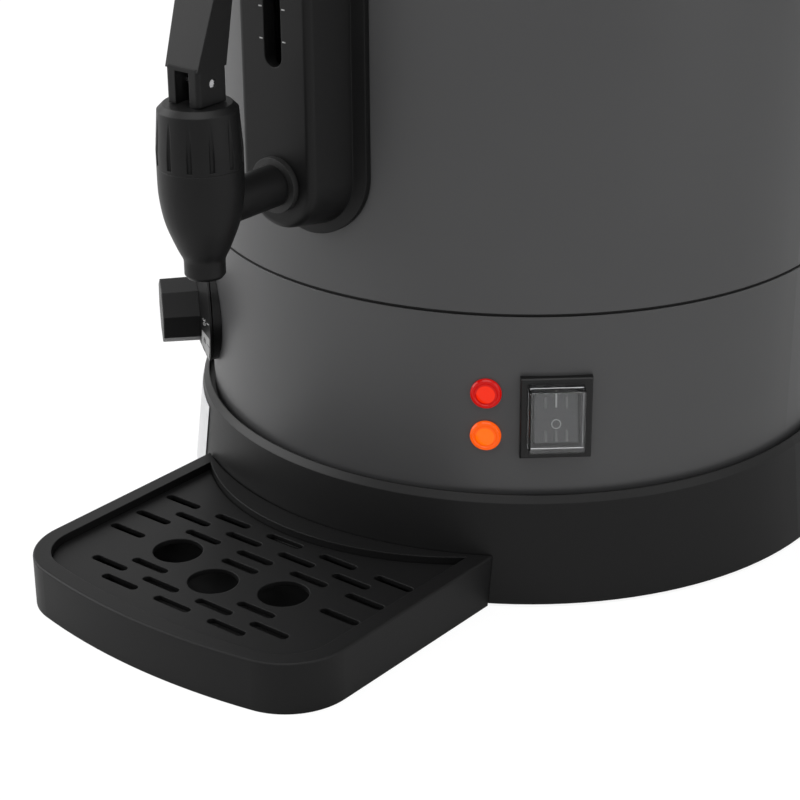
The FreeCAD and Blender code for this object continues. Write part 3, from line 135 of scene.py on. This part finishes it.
# Camera, from the fit of the urn's rings and edges
CAMERA_PLACE = Vector((0.4960, -0.6934, 0.4076))
CAMERA_FORWARD = Vector((-0.57364, 0.70831, -0.41138))
CAMERA_UP = Vector((-0.25356, 0.32401, 0.91144))


class UrnSizes(bpy.types.PropertyGroup):
    """Sizes of the details that are made here."""
    wire: FloatProperty(
        name="Spring wire", description="Thickness of the tap spring's wire",
        default=1.2 * MM, min=0.0005, unit="LENGTH")
    coil: FloatProperty(
        name="Spring coil", description="Radius of the tap spring, to the middle of its wire",
        default=5.8 * MM, min=0.001, unit="LENGTH")
    turns: IntProperty(
        name="Spring turns", description="Turns of the tap spring", default=9, min=3)
    lens: FloatProperty(
        name="Lamp lens", description="Radius of a lamp's lens", default=5.8 * MM, min=0.001,
        unit="LENGTH")
    dial_low: IntProperty(
        name="Dial start", description="Lowest number printed on the dial", default=30)
    dial_step: IntProperty(
        name="Dial step", description="Step between the dial's numbers", default=10, min=1)
    gauge_marks: IntProperty(
        name="Gauge marks", description="Level marks beside the gauge's window", default=10, min=2)
    lens_length: FloatProperty(
        name="Focal length", description="Focal length of the camera", default=96.98, min=10,
        unit="CAMERA")


class UrnColours(bpy.types.PropertyGroup):
    """Colours of the main finishes."""
    shell: FloatVectorProperty(
        name="Shell paint", description="Paint of the shells and the lid",
        default=(0.043, 0.043, 0.044), subtype="COLOR", min=0, max=1)
    plastic: FloatVectorProperty(
        name="Black plastic", description="Base, tap, tray and handles",
        default=(0.0042, 0.0042, 0.0043), subtype="COLOR", min=0, max=1)
    rocker: FloatVectorProperty(
        name="Rocker", description="Rocker of the switch",
        default=(0.035, 0.035, 0.036), subtype="COLOR", min=0, max=1)
    floor: FloatVectorProperty(
        name="Floor", description="Floor under the urn",
        default=(0.80, 0.80, 0.80), subtype="COLOR", min=0, max=1)


# Shader maths

class Signal:
    """A socket that builds nodes from Python expressions."""

    def __init__(self, finish, socket):
        self.finish = finish
        self.socket = socket

    def maths(self, operation, *values):
        return self.finish.node("ShaderNodeMath", {"operation": operation},
                                dict(enumerate(values)))

    def __add__(self, other):
        return self.maths("ADD", self, other)

    def __mul__(self, other):
        return self.maths("MULTIPLY", self, other)

    def steps(self, low, high):
        """0 below low, 1 above high, smooth between."""
        return self.finish.node("ShaderNodeMapRange", {"interpolation_type": "SMOOTHSTEP"},
                                {"Value": self, "From Min": low, "From Max": high})


class Finish:
    """A material and the nodes behind its shader."""

    def __init__(self, name, **sockets):
        self.material = bpy.data.materials.new(name)
        self.material.use_nodes = True
        self.tree = self.material.node_tree
        self.shader = self.tree.nodes["Principled BSDF"]
        for socket, value in sockets.items():
            self.feed(socket.replace("_", " ").title().replace("Ior", "IOR"), value)
        self.place = self.node("ShaderNodeTexCoord", {}, {}, "Object")

    def link(self, socket, value):
        if isinstance(value, Signal):
            self.tree.links.new(value.socket, socket)
        elif hasattr(value, "__len__") and len(value) == 3 and socket.type == "RGBA":
            socket.default_value = (*value, 1.0)
        else:
            socket.default_value = value

    def node(self, kind, settings, values, output=0):
        made = self.tree.nodes.new(kind)
        for name, value in settings.items():
            setattr(made, name, value)
        for name, value in values.items():
            self.link(made.inputs[name], value)
        return Signal(self, made.outputs[output])

    def feed(self, socket, value):
        self.link(self.shader.inputs[socket], value)
        return self

    def stretched(self, scale):
        return self.node("ShaderNodeMapping", {}, {"Vector": self.place, "Scale": scale})

    def noise(self, scale, detail=2.0, rough=0.5, at=None):
        return self.node("ShaderNodeTexNoise", {}, {
            "Vector": at or self.place, "Scale": scale, "Detail": detail, "Roughness": rough})

    def blend(self, share, first, second):
        """Colour between two colours."""
        return self.node("ShaderNodeMix", {"data_type": "RGBA"},
                         {MIX_SHARE: share, MIX_FIRST: first, MIX_SECOND: second}, MIX_RESULT)

    def soft_edges(self, radius):
        return self.node("ShaderNodeBevel", {"samples": 4}, {"Radius": radius})

    def bump(self, height, distance, strength=1.0, normal=None):
        values = {"Height": height, "Distance": distance, "Strength": strength}
        if normal:
            values["Normal"] = normal
        return self.feed("Normal", self.node("ShaderNodeBump", {}, values))


def shaded(colour, factor):
    return tuple(channel * factor for channel in colour)


def paint(name, colour, roughness=0.40):
    """Satin powder paint: faint orange peel, and a slight change of tone and gloss."""
    finish = Finish(name, specular_ior_level=0.42)
    patches = finish.noise(18.0, 3.0)
    finish.feed("Base Color", finish.blend(patches, shaded(colour, 0.94), shaded(colour, 1.06)))
    finish.feed("Roughness", patches * 0.06 + (roughness - 0.03))
    peel = finish.noise(850.0, 2.0)
    return finish.bump(peel, 0.00003, 0.35, finish.soft_edges(0.0004))


def moulded(name, colour, roughness=0.42, grain=1500.0, level=0.17, edge=0.0006):
    """Moulded plastic with fine spark grain, a little polished where it is handled."""
    finish = Finish(name, specular_ior_level=level)
    patches = finish.noise(14.0, 3.0)
    specks = finish.noise(grain, 2.0, 0.6)
    finish.feed("Base Color", finish.blend(specks, shaded(colour, 0.86), shaded(colour, 1.14)))
    finish.feed("Roughness", patches * 0.10 + (roughness - 0.05))
    return finish.bump(specks, 0.00004, 0.5, finish.soft_edges(edge))


def brushed(name, colour, roughness=0.28, along=(25.0, 25.0, 2600.0)):
    """Brushed metal: fine lines across the third axis of the stretch."""
    finish = Finish(name, metallic=1.0)
    lines = finish.noise(1.0, 4.0, 0.6, finish.stretched(along))
    patches = finish.noise(22.0, 2.0)
    finish.feed("Base Color", finish.blend(lines, shaded(colour, 0.88), colour))
    finish.feed("Roughness", lines * 0.12 + patches * 0.06 + (roughness - 0.09))
    return finish.bump(lines, 0.00002, 0.5, finish.soft_edges(0.0003))


def clear_moulding(name, tint, roughness):
    """Clear plastic or glass, faintly marked by handling."""
    finish = Finish(name, base_color=tint, transmission_weight=1.0, ior=1.47)
    smears = finish.noise(160.0, 4.0)
    finish.feed("Roughness", smears.steps(0.45, 0.8) * 0.06 + roughness)
    return finish


def soft_rubber(name, colour, roughness=0.7):
    finish = Finish(name, specular_ior_level=0.3)
    dust = finish.noise(120.0, 5.0, 0.7)
    finish.feed("Base Color", finish.blend(dust.steps(0.45, 0.75), colour, shaded(colour, 1.35)))
    finish.feed("Roughness", dust * 0.12 + (roughness - 0.06))
    return finish.bump(finish.noise(900.0, 3.0), 0.00006, 0.6, finish.soft_edges(0.0003))


def mineral_wool(name, colour):
    """Fibres at two scales, matt."""
    finish = Finish(name, specular_ior_level=0.1)
    fibres = finish.noise(1.0, 6.0, 0.7, finish.stretched((500.0, 500.0, 90.0)))
    clumps = finish.noise(60.0, 4.0)
    tone = fibres * 0.6 + clumps * 0.4
    finish.feed("Base Color", finish.blend(tone, shaded(colour, 0.6), colour))
    finish.feed("Roughness", clumps * 0.1 + 0.85)
    return finish.bump(fibres + clumps, 0.0012, 0.9)


def lens_glow(lamp):
    """Lit lens: a brighter disc inside a deeper ring, told by the distance from its axis."""
    height, middle, ring = LAMPS[lamp]
    finish = Finish(lamp.title() + "_glow", specular_ior_level=0.2)
    place = wall_place(LAMP_TURN, SHELL_R, height)
    offset = finish.node("ShaderNodeVectorMath", {"operation": "SUBTRACT"},
                         {0: finish.place, 1: place.translation})
    sideways, upward = [
        finish.node("ShaderNodeVectorMath", {"operation": "DOT_PRODUCT"},
                    {0: offset, 1: place.to_3x3().col[axis]}, "Value") for axis in (0, 1)]
    squared = sideways * sideways + upward * upward
    radius = squared.maths("SQRT", squared)
    specks = finish.noise(700.0, 3.0)
    finish.feed("Base Color", finish.blend(specks, shaded(ring, 0.2), shaded(middle, 0.2)))
    finish.feed("Emission Color", finish.blend(radius.steps(*GLOW_RADII), middle, ring))
    finish.feed("Emission Strength", 1.0)
    finish.feed("Roughness", specks * 0.08 + 0.14)
    return finish


# Places and pieces

def wall_place(turn, out, height):
    """Place on the wall: x runs to the right seen from outside, y up and z outwards."""
    angle = math.radians(turn)
    right = Vector((math.cos(angle), math.sin(angle), 0.0))
    outward = Vector((math.sin(angle), -math.cos(angle), 0.0))
    turned = Matrix((right, Vector((0.0, 0.0, 1.0)), outward)).transposed().to_4x4()
    return Matrix.Translation(outward * out + Vector((0.0, 0.0, height))) @ turned


def clear_selection():
    if bpy.context.object and bpy.context.object.mode != "OBJECT":
        bpy.ops.object.mode_set(mode="OBJECT")
    bpy.ops.object.select_all(action="DESELECT")


def only(piece):
    clear_selection()
    piece.select_set(True)
    bpy.context.view_layer.objects.active = piece


def finished(piece, name, place, smooth=35.0):
    """Names a piece, lays its place into its mesh and shades it."""
    only(piece)
    piece.name = name
    piece.data.name = name
    piece.matrix_world = place @ piece.matrix_world
    bpy.ops.object.transform_apply(location=True, rotation=True, scale=True)
    bpy.ops.object.shade_smooth_by_angle(angle=math.radians(smooth))
    return piece


def modified(piece, kind, **settings):
    only(piece)
    modifier = piece.modifiers.new(kind.title(), kind)
    for name, value in settings.items():
        setattr(modifier, name, value)
    bpy.ops.object.modifier_apply(modifier=modifier.name)


def joined(pieces):
    clear_selection()
    for piece in pieces:
        piece.select_set(True)
    bpy.context.view_layer.objects.active = pieces[0]
    bpy.ops.object.join()
    return bpy.context.object


def disc_piece(radius, place, corners=48):
    clear_selection()
    bpy.ops.mesh.primitive_circle_add(vertices=corners, radius=radius, fill_type="NGON",
                                      location=place)
    return bpy.context.object


def stepped_up(piece, steps):
    """Raises and narrows the top face: each step is an inset and a rise, mm."""
    only(piece)
    bpy.ops.object.mode_set(mode="EDIT")
    bpy.ops.mesh.select_all(action="SELECT")
    for inset, rise in steps:
        if inset:
            bpy.ops.mesh.inset(thickness=inset * MM, depth=rise * MM)
        else:
            bpy.ops.mesh.extrude_region_move(TRANSFORM_OT_translate={"value": (0, 0, rise * MM)})
    bpy.ops.mesh.select_all(action="SELECT")
    bpy.ops.mesh.normals_make_consistent(inside=False)
    bpy.ops.object.mode_set(mode="OBJECT")


def raised_bar(sides, place):
    """Printed or moulded mark with softened edges; place turns and moves it."""
    clear_selection()
    bpy.ops.mesh.primitive_cube_add(size=1)
    bar = bpy.context.object
    bar.scale = [side * MM for side in sides]
    bpy.ops.object.transform_apply(location=False, rotation=False, scale=True)
    modified(bar, "BEVEL", width=min(sides) * MM * 0.25, segments=2)
    bar.matrix_world = place
    bpy.ops.object.transform_apply(location=True, rotation=True, scale=False)
    return bar


def raised_text(words, size, height, place):
    """Plain number as a thin raised mesh."""
    clear_selection()
    bpy.ops.object.text_add()
    text = bpy.context.object
    text.data.body = words
    text.data.size = size
    text.data.extrude = height / 2
    text.data.resolution_u = 3
    text.data.align_x = "CENTER"
    text.data.align_y = "CENTER"
    bpy.ops.object.convert(target="MESH")
    text = bpy.context.object
    text.matrix_world = place
    bpy.ops.object.transform_apply(location=True, rotation=True, scale=False)
    return text


def dress(piece, material, body):
    piece.data.materials.clear()
    piece.data.materials.append(material)
    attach(piece, body)


# Operators

class URN_OT_finishes(bpy.types.Operator):
    """Give every CAD node its procedural material"""
    bl_idname = "urn.finishes"
    bl_label = "Finishes"

    def execute(self, context):
        colours = context.scene.urn_colours
        black = moulded("Black_plastic", colours.plastic)
        glossy = moulded("Gloss_black_plastic", shaded(colours.plastic, 1.2), 0.22, 700.0, 0.25,
                         0.0007)
        shell = paint("Wall_paint", colours.shell)
        steel = brushed("Brushed_steel", (0.62, 0.62, 0.63))
        finishes = {
            shell: ["control_band", "outer_jacket", "lid_shell"],
            black: ["base_housing", "bottom_cover", "rim_ring", "tap_body", "bonnet", "tap_lever",
                    "gauge_housing", "left_handle", "right_handle", "lid_knob", "vent_cap",
                    "cutout_body"],
            moulded("Tray_plastic", colours.plastic, 0.46, 1200.0, 0.15):
                ["drip_tray", "tray_grille"],
            moulded("Knob_plastic", shaded(colours.plastic, 2.0), 0.40, 1500.0, 0.20, 0.0005):
                ["thermostat_knob"],
            moulded("Skirt_plastic", shaded(colours.plastic, 1.3), 0.35, 1500.0, 0.18, 0.0003):
                ["dial_skirt", "knob_bezel"],
            glossy: ["switch_frame", "power_inlet"],
            moulded("Rocker_plastic", colours.rocker, 0.38, 1200.0, 0.45): ["rocker"],
            moulded("Seam_plastic", (0.004, 0.004, 0.004), 0.6): ["seam_ring"],
            moulded("Reset_plastic", (0.45, 0.02, 0.015), 0.35): ["reset_button"],
            moulded("White_plastic", (0.62, 0.61, 0.58), 0.45, 900.0, 0.5):
                ["tap_nut", "terminal_block"],
            steel: ["base_screws", "tank_posts", "heater_nuts", "valve_stem", "lever_pin",
                    "gauge_elbow", "thermostat_shaft", "lamp_nuts", "inlet_pins", "handle_screws",
                    "lid_knob_screw", "heater_clamp"],
            brushed("Tank_steel", (0.66, 0.66, 0.67), 0.24, (18.0, 18.0, 1800.0)): ["inner_tank"],
            brushed("Element_steel", (0.30, 0.29, 0.28), 0.4): ["heating_element"],
            brushed("Cast_aluminium", (0.60, 0.60, 0.61), 0.45, (500.0, 500.0, 500.0)):
                ["heater_plate", "keep_warm_element", "thermostat_body"],
            brushed("Foil", (0.78, 0.78, 0.79), 0.34, (30.0, 30.0, 900.0)): ["blank_plate"],
            brushed("Copper", (0.72, 0.36, 0.20), 0.3): ["capillary_tube", "sensor_bulb"],
            clear_moulding("Clear_cover", (0.93, 0.94, 0.95), 0.03): ["splash_cover"],
            clear_moulding("Gauge_glass", (0.95, 0.97, 0.97), 0.01): ["sight_tube"],
            soft_rubber("Foot_rubber", (0.014, 0.014, 0.014)): ["foot_ring"],
            soft_rubber("Silicone", (0.42, 0.42, 0.40), 0.55):
                ["lid_seal", "tank_seal", "seat_cup", "tube_grommets"],
            soft_rubber("Tap_rubber", (0.012, 0.012, 0.012), 0.5): ["tap_washer"],
            mineral_wool("Mineral_wool", (0.50, 0.45, 0.28)): ["insulation_sleeve"],
            brushed("Spring_steel", (0.5, 0.5, 0.51), 0.3): ["tap_spring"],
        }
        finishes.update({lens_glow(lamp): [lamp] for lamp in LAMPS})
        left = set(frame["nodes"])
        for finish, names in finishes.items():
            for name in names:
                node = frame["nodes"][name]
                for material_slot in node.material_slots:
                    material_slot.material = finish.material
                left.discard(name)
        if left:
            raise RuntimeError("nodes without a finish: %s" % sorted(left))
        return {"FINISHED"}


class URN_OT_lamps(bpy.types.Operator):
    """Model the two pilot lamps with their stepped lenses, lit by their nodes' finish"""
    bl_idname = "urn.lamps"
    bl_label = "Pilot Lamps"

    def execute(self, context):
        lens = context.scene.urn_sizes.lens
        for node, (height, _, _) in LAMPS.items():
            head = disc_piece(lens, (0, 0, -LENS_SINK))
            stepped_up(head, LENS_STEPS)
            modified(head, "BEVEL", width=0.12 * MM, segments=2, limit_method="ANGLE")
            barrel = disc_piece(lens - BARREL_INSET, (0, 0, -BARREL_DEPTH), 32)
            stepped_up(barrel, BARREL_STEPS)
            piece = finished(joined([head, barrel]), node + "_lens",
                             wall_place(LAMP_TURN, SHELL_R, height))
            glow = frame["nodes"][node].material_slots[0].material
            dress(piece, glow, "urn")
            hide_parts(node)
        return {"FINISHED"}


class URN_OT_switch_marks(bpy.types.Operator):
    """Model the line, the ring and the grip lines on the rocker"""
    bl_idname = "urn.switch_marks"
    bl_label = "Switch Marks"

    def on_rocker(self, across, up):
        """Place on the hollow face of the rocker."""
        across, up = across * MM, up * MM
        lift = ROCKER_MIDDLE + ROCKER_HOLLOW_R - math.sqrt(ROCKER_HOLLOW_R ** 2 - up ** 2)
        lean = math.asin(up / ROCKER_HOLLOW_R)
        return (Matrix.Rotation(ROCKER_TILT, 4, "X") @ Matrix.Translation((across, up, lift))
                @ Matrix.Rotation(lean, 4, "X"))

    def execute(self, context):
        pale = moulded("Mark_print", (0.40, 0.40, 0.40), 0.5, 900.0, 0.3)
        grey = moulded("Grip_line", (0.12, 0.12, 0.12), 0.4, 900.0, 0.5)
        line = raised_bar(LINE_BAR, self.on_rocker(*LINE_PLACE))
        clear_selection()
        bpy.ops.mesh.primitive_torus_add(major_radius=RING_R, minor_radius=RING_WIRE_R,
                                         major_segments=32, minor_segments=8)
        ring = bpy.context.object
        ring.matrix_world = self.on_rocker(*RING_PLACE)
        bpy.ops.object.transform_apply(location=True, rotation=True, scale=False)
        grips = [raised_bar(GRIP_BAR, self.on_rocker(*spot)) for spot in GRIP_PLACES]
        place = wall_place(SWITCH_TURN, ROCKER_AXIS_OUT, SWITCH_Z)
        for name, marks, finish in (("rocker_marks", [line, ring], pale),
                                    ("rocker_grip_lines", grips, grey)):
            dress(finished(joined(marks), name, place), finish.material, "switch_rocker")
        return {"FINISHED"}


class URN_OT_dial_scale(bpy.types.Operator):
    """Print the plain scale on the dial's skirt"""
    bl_idname = "urn.dial_scale"
    bl_label = "Dial Scale"

    def on_skirt(self, turn, radius):
        """Place on the skirt's cone, y pointing out along its slope."""
        share = (SKIRT_R - radius) / (SKIRT_R - SKIRT_FRONT_R)
        rise = share * (SKIRT_FRONT_OUT - SKIRT_EDGE_OUT)
        slope = math.atan2(SKIRT_FRONT_OUT - SKIRT_EDGE_OUT, SKIRT_R - SKIRT_FRONT_R)
        return (Matrix.Rotation(turn, 4, "Z") @ Matrix.Translation((0, radius, rise))
                @ Matrix.Rotation(-slope, 4, "X"))

    def execute(self, context):
        sizes = context.scene.urn_sizes
        pale = moulded("Dial_print", (0.36, 0.36, 0.36), 0.5, 900.0, 0.3)
        dark = moulded("Dial_dark_print", (0.05, 0.05, 0.05), 0.5, 900.0, 0.3)
        marks = {False: [], True: []}
        for index in range(DIAL_NUMBERS):
            degrees = DIAL_FIRST - DIAL_SWEEP / (DIAL_NUMBERS - 1) * index
            on_band = abs(degrees + 180.0) < BAND_SWEEP / 2
            turn = math.radians(degrees)
            words = str(sizes.dial_low + sizes.dial_step * index)
            marks[on_band].append(
                raised_text(words, DIAL_TEXT, DIAL_TEXT_T, self.on_skirt(turn, DIAL_TEXT_R)))
            marks[on_band].append(raised_bar(TICK_BAR, self.on_skirt(turn, TICK_R)))
        pieces = {"dial_scale": (joined(marks[False]), pale), "dial_band": (self.band(), pale),
                  "dial_band_scale": (joined(marks[True]), dark)}
        for name, (piece, finish) in pieces.items():
            piece = finished(piece, name, wall_place(KNOB_TURN, SKIRT_EDGE_OUT, KNOB_Z))
            dress(piece, finish.material, "knob")
        return {"FINISHED"}

    def band(self):
        """Pale printed band round the lower part of the skirt."""
        clear_selection()
        bpy.ops.mesh.primitive_plane_add(size=1)
        band = bpy.context.object
        low, high = [self.on_skirt(0.0, radius).translation for radius in BAND_RADII]
        bpy.ops.object.mode_set(mode="EDIT")
        bpy.ops.mesh.select_all(action="SELECT")
        bpy.ops.mesh.merge(type="COLLAPSE")
        bpy.ops.transform.translate(value=low)
        bpy.ops.mesh.extrude_region_move(TRANSFORM_OT_translate={"value": high - low})
        bpy.ops.object.mode_set(mode="OBJECT")
        modified(band, "SCREW", axis="Z", angle=math.radians(BAND_SWEEP), steps=36,
                 render_steps=36, use_normal_flip=False)
        modified(band, "SOLIDIFY", thickness=BAND_T, offset=0.0)
        band.rotation_euler.z = math.radians(-180.0 - BAND_SWEEP / 2)
        bpy.ops.object.transform_apply(location=False, rotation=True, scale=False)
        return band


class URN_OT_level_marks(bpy.types.Operator):
    """Mould plain level marks beside the gauge's window"""
    bl_idname = "urn.level_marks"
    bl_label = "Level Marks"

    def execute(self, context):
        count = context.scene.urn_sizes.gauge_marks
        marks = []
        for index in range(count):
            up = WINDOW_LOW + (WINDOW_HIGH - WINDOW_LOW) * (index + 0.5) / count
            for side in (-1, 1):
                marks.append(
                    raised_bar(LEVEL_BAR, Matrix.Translation((side * LEVEL_ACROSS, up, 0))))
        piece = finished(joined(marks), "level_marks", wall_place(0.0, GAUGE_FACE_OUT, 0.0))
        pale = moulded("Level_print", (0.35, 0.35, 0.35), 0.5, 900.0, 0.3)
        dress(piece, pale.material, "urn")
        return {"FINISHED"}


class URN_OT_tap_spring(bpy.types.Operator):
    """Wind the spring that closes the tap"""
    bl_idname = "urn.tap_spring"
    bl_label = "Tap Spring"

    def execute(self, context):
        sizes = context.scene.urn_sizes
        length = SPRING_TOP - SPRING_LOW - sizes.wire
        clear_selection()
        bpy.ops.mesh.primitive_circle_add(vertices=10, radius=sizes.wire / 2, fill_type="NGON",
                                          location=(sizes.coil, 0, 0),
                                          rotation=(math.pi / 2, 0, 0))
        spring = bpy.context.object
        bpy.ops.object.transform_apply(location=True, rotation=True, scale=False)
        modified(spring, "SCREW", axis="Z", steps=36, render_steps=36, iterations=sizes.turns,
                 screw_offset=length / sizes.turns, use_merge_vertices=True, merge_threshold=1e-6)
        only(spring)
        bpy.ops.object.mode_set(mode="EDIT")
        bpy.ops.mesh.select_all(action="SELECT")
        bpy.ops.mesh.normals_make_consistent(inside=False)
        bpy.ops.object.mode_set(mode="OBJECT")
        place = Matrix.Translation((0, -TAP_OUT, SPRING_LOW + sizes.wire / 2))
        finished(spring, "tap_spring_coil", place, 60.0)
        dress(spring, brushed("Wire_steel", (0.55, 0.55, 0.56), 0.25).material, "urn")
        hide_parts("tap_spring")
        lift = next(j for j in frame["joints"] if j["name"] == "valve_lift")["range_m"][1]
        1 - lift / (SPRING_TOP - SPRING_LOW)
        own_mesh(spring)
        return {"FINISHED"}


class URN_OT_stage(bpy.types.Operator):
    """Set the pale floor, the soft lights, the world and the camera"""
    bl_idname = "urn.stage"
    bl_label = "Stage"

    def floor(self, colour):
        clear_selection()
        bpy.ops.mesh.primitive_plane_add(size=30.0)
        floor = bpy.context.object
        floor.name = "floor"
        finish = Finish("Floor_paper", roughness=0.9, specular_ior_level=0.1)
        finish.feed("Base Color", finish.blend(finish.noise(3.0), shaded(colour, 0.98), colour))
        tree = finish.tree
        ray = finish.node("ShaderNodeLightPath", {}, {}, "Is Camera Ray")
        white = tree.nodes.new("ShaderNodeEmission")
        mixer = tree.nodes.new("ShaderNodeMixShader")
        white.inputs["Strength"].default_value = FLOOR_GLOW
        finish.link(mixer.inputs[0], ray * FLOOR_GLOW_SHARE)
        tree.links.new(finish.shader.outputs[0], mixer.inputs[1])
        tree.links.new(white.outputs[0], mixer.inputs[2])
        tree.links.new(mixer.outputs[0], tree.nodes["Material Output"].inputs[0])
        floor.data.materials.append(finish.material)

    def world(self):
        world = bpy.data.worlds.new("Studio")
        bpy.context.scene.world = world
        world.use_nodes = True
        nodes, links = world.node_tree.nodes, world.node_tree.links
        path = nodes.new("ShaderNodeLightPath")
        seen = path.outputs["Is Camera Ray"]
        for name in ("Is Glossy Ray", "Is Transmission Ray"):
            larger = nodes.new("ShaderNodeMath")
            larger.operation = "MAXIMUM"
            links.new(seen, larger.inputs[0])
            links.new(path.outputs[name], larger.inputs[1])
            seen = larger.outputs[0]
        strength = nodes.new("ShaderNodeMapRange")
        strength.inputs["To Min"].default_value = WORLD_LEVEL
        strength.inputs["To Max"].default_value = 1.0
        links.new(seen, strength.inputs["Value"])
        links.new(strength.outputs[0], nodes["Background"].inputs["Strength"])
        nodes["Background"].inputs["Color"].default_value = (1, 1, 1, 1)

    def softbox(self, name, place, size, power):
        clear_selection()
        bpy.ops.object.light_add(type="AREA", location=place)
        light = bpy.context.object
        light.name = name
        light.data.shape = "RECTANGLE"
        light.data.size, light.data.size_y = size
        light.data.energy = power
        aim = Vector(SOFTBOX_AIM) - Vector(place)
        light.rotation_euler = aim.to_track_quat("-Z", "Y").to_euler()

    def camera(self, lens_length):
        clear_selection()
        bpy.ops.object.camera_add()
        camera = bpy.context.object
        camera.name = "photo_camera"
        forward = CAMERA_FORWARD.normalized()
        right = forward.cross(CAMERA_UP).normalized()
        turned = Matrix((right, right.cross(forward), -forward)).transposed().to_4x4()
        camera.matrix_world = Matrix.Translation(CAMERA_PLACE) @ turned
        camera.data.sensor_width = 36.0
        camera.data.lens = lens_length
        camera.data.clip_start = 0.05
        camera.data.clip_end = 100.0
        bpy.context.scene.camera = camera

    def execute(self, context):
        self.floor(context.scene.urn_colours.floor)
        self.world()
        for softbox in SOFTBOXES:
            self.softbox(*softbox)
        self.camera(context.scene.urn_sizes.lens_length)
        context.scene.view_settings.view_transform = "Standard"
        return {"FINISHED"}


STEPS = (URN_OT_finishes, URN_OT_lamps, URN_OT_switch_marks, URN_OT_dial_scale,
         URN_OT_level_marks, URN_OT_tap_spring, URN_OT_stage)


class URN_PT_panel(bpy.types.Panel):
    """Sizes, colours and steps of the urn"""
    bl_idname = "URN_PT_panel"
    bl_label = "Hot Water Urn"
    bl_space_type = "VIEW_3D"
    bl_region_type = "UI"
    bl_category = "Urn"

    def draw(self, context):
        for group in (context.scene.urn_sizes, context.scene.urn_colours):
            for name in group.__annotations__:
                self.layout.prop(group, name)
        for step in STEPS:
            self.layout.operator(step.bl_idname)


CLASSES = (UrnSizes, UrnColours, *STEPS, URN_PT_panel)


def register():
    for each in CLASSES:
        bpy.utils.register_class(each)
    bpy.types.Scene.urn_sizes = PointerProperty(type=UrnSizes)
    bpy.types.Scene.urn_colours = PointerProperty(type=UrnColours)


def unregister():
    del bpy.types.Scene.urn_colours
    del bpy.types.Scene.urn_sizes
    for each in reversed(CLASSES):
        bpy.utils.unregister_class(each)


def main():
    register()
    for step in STEPS:
        area, verb = step.bl_idname.split(".")
        getattr(getattr(bpy.ops, area), verb)()


if __name__ == "__main__":
    main()
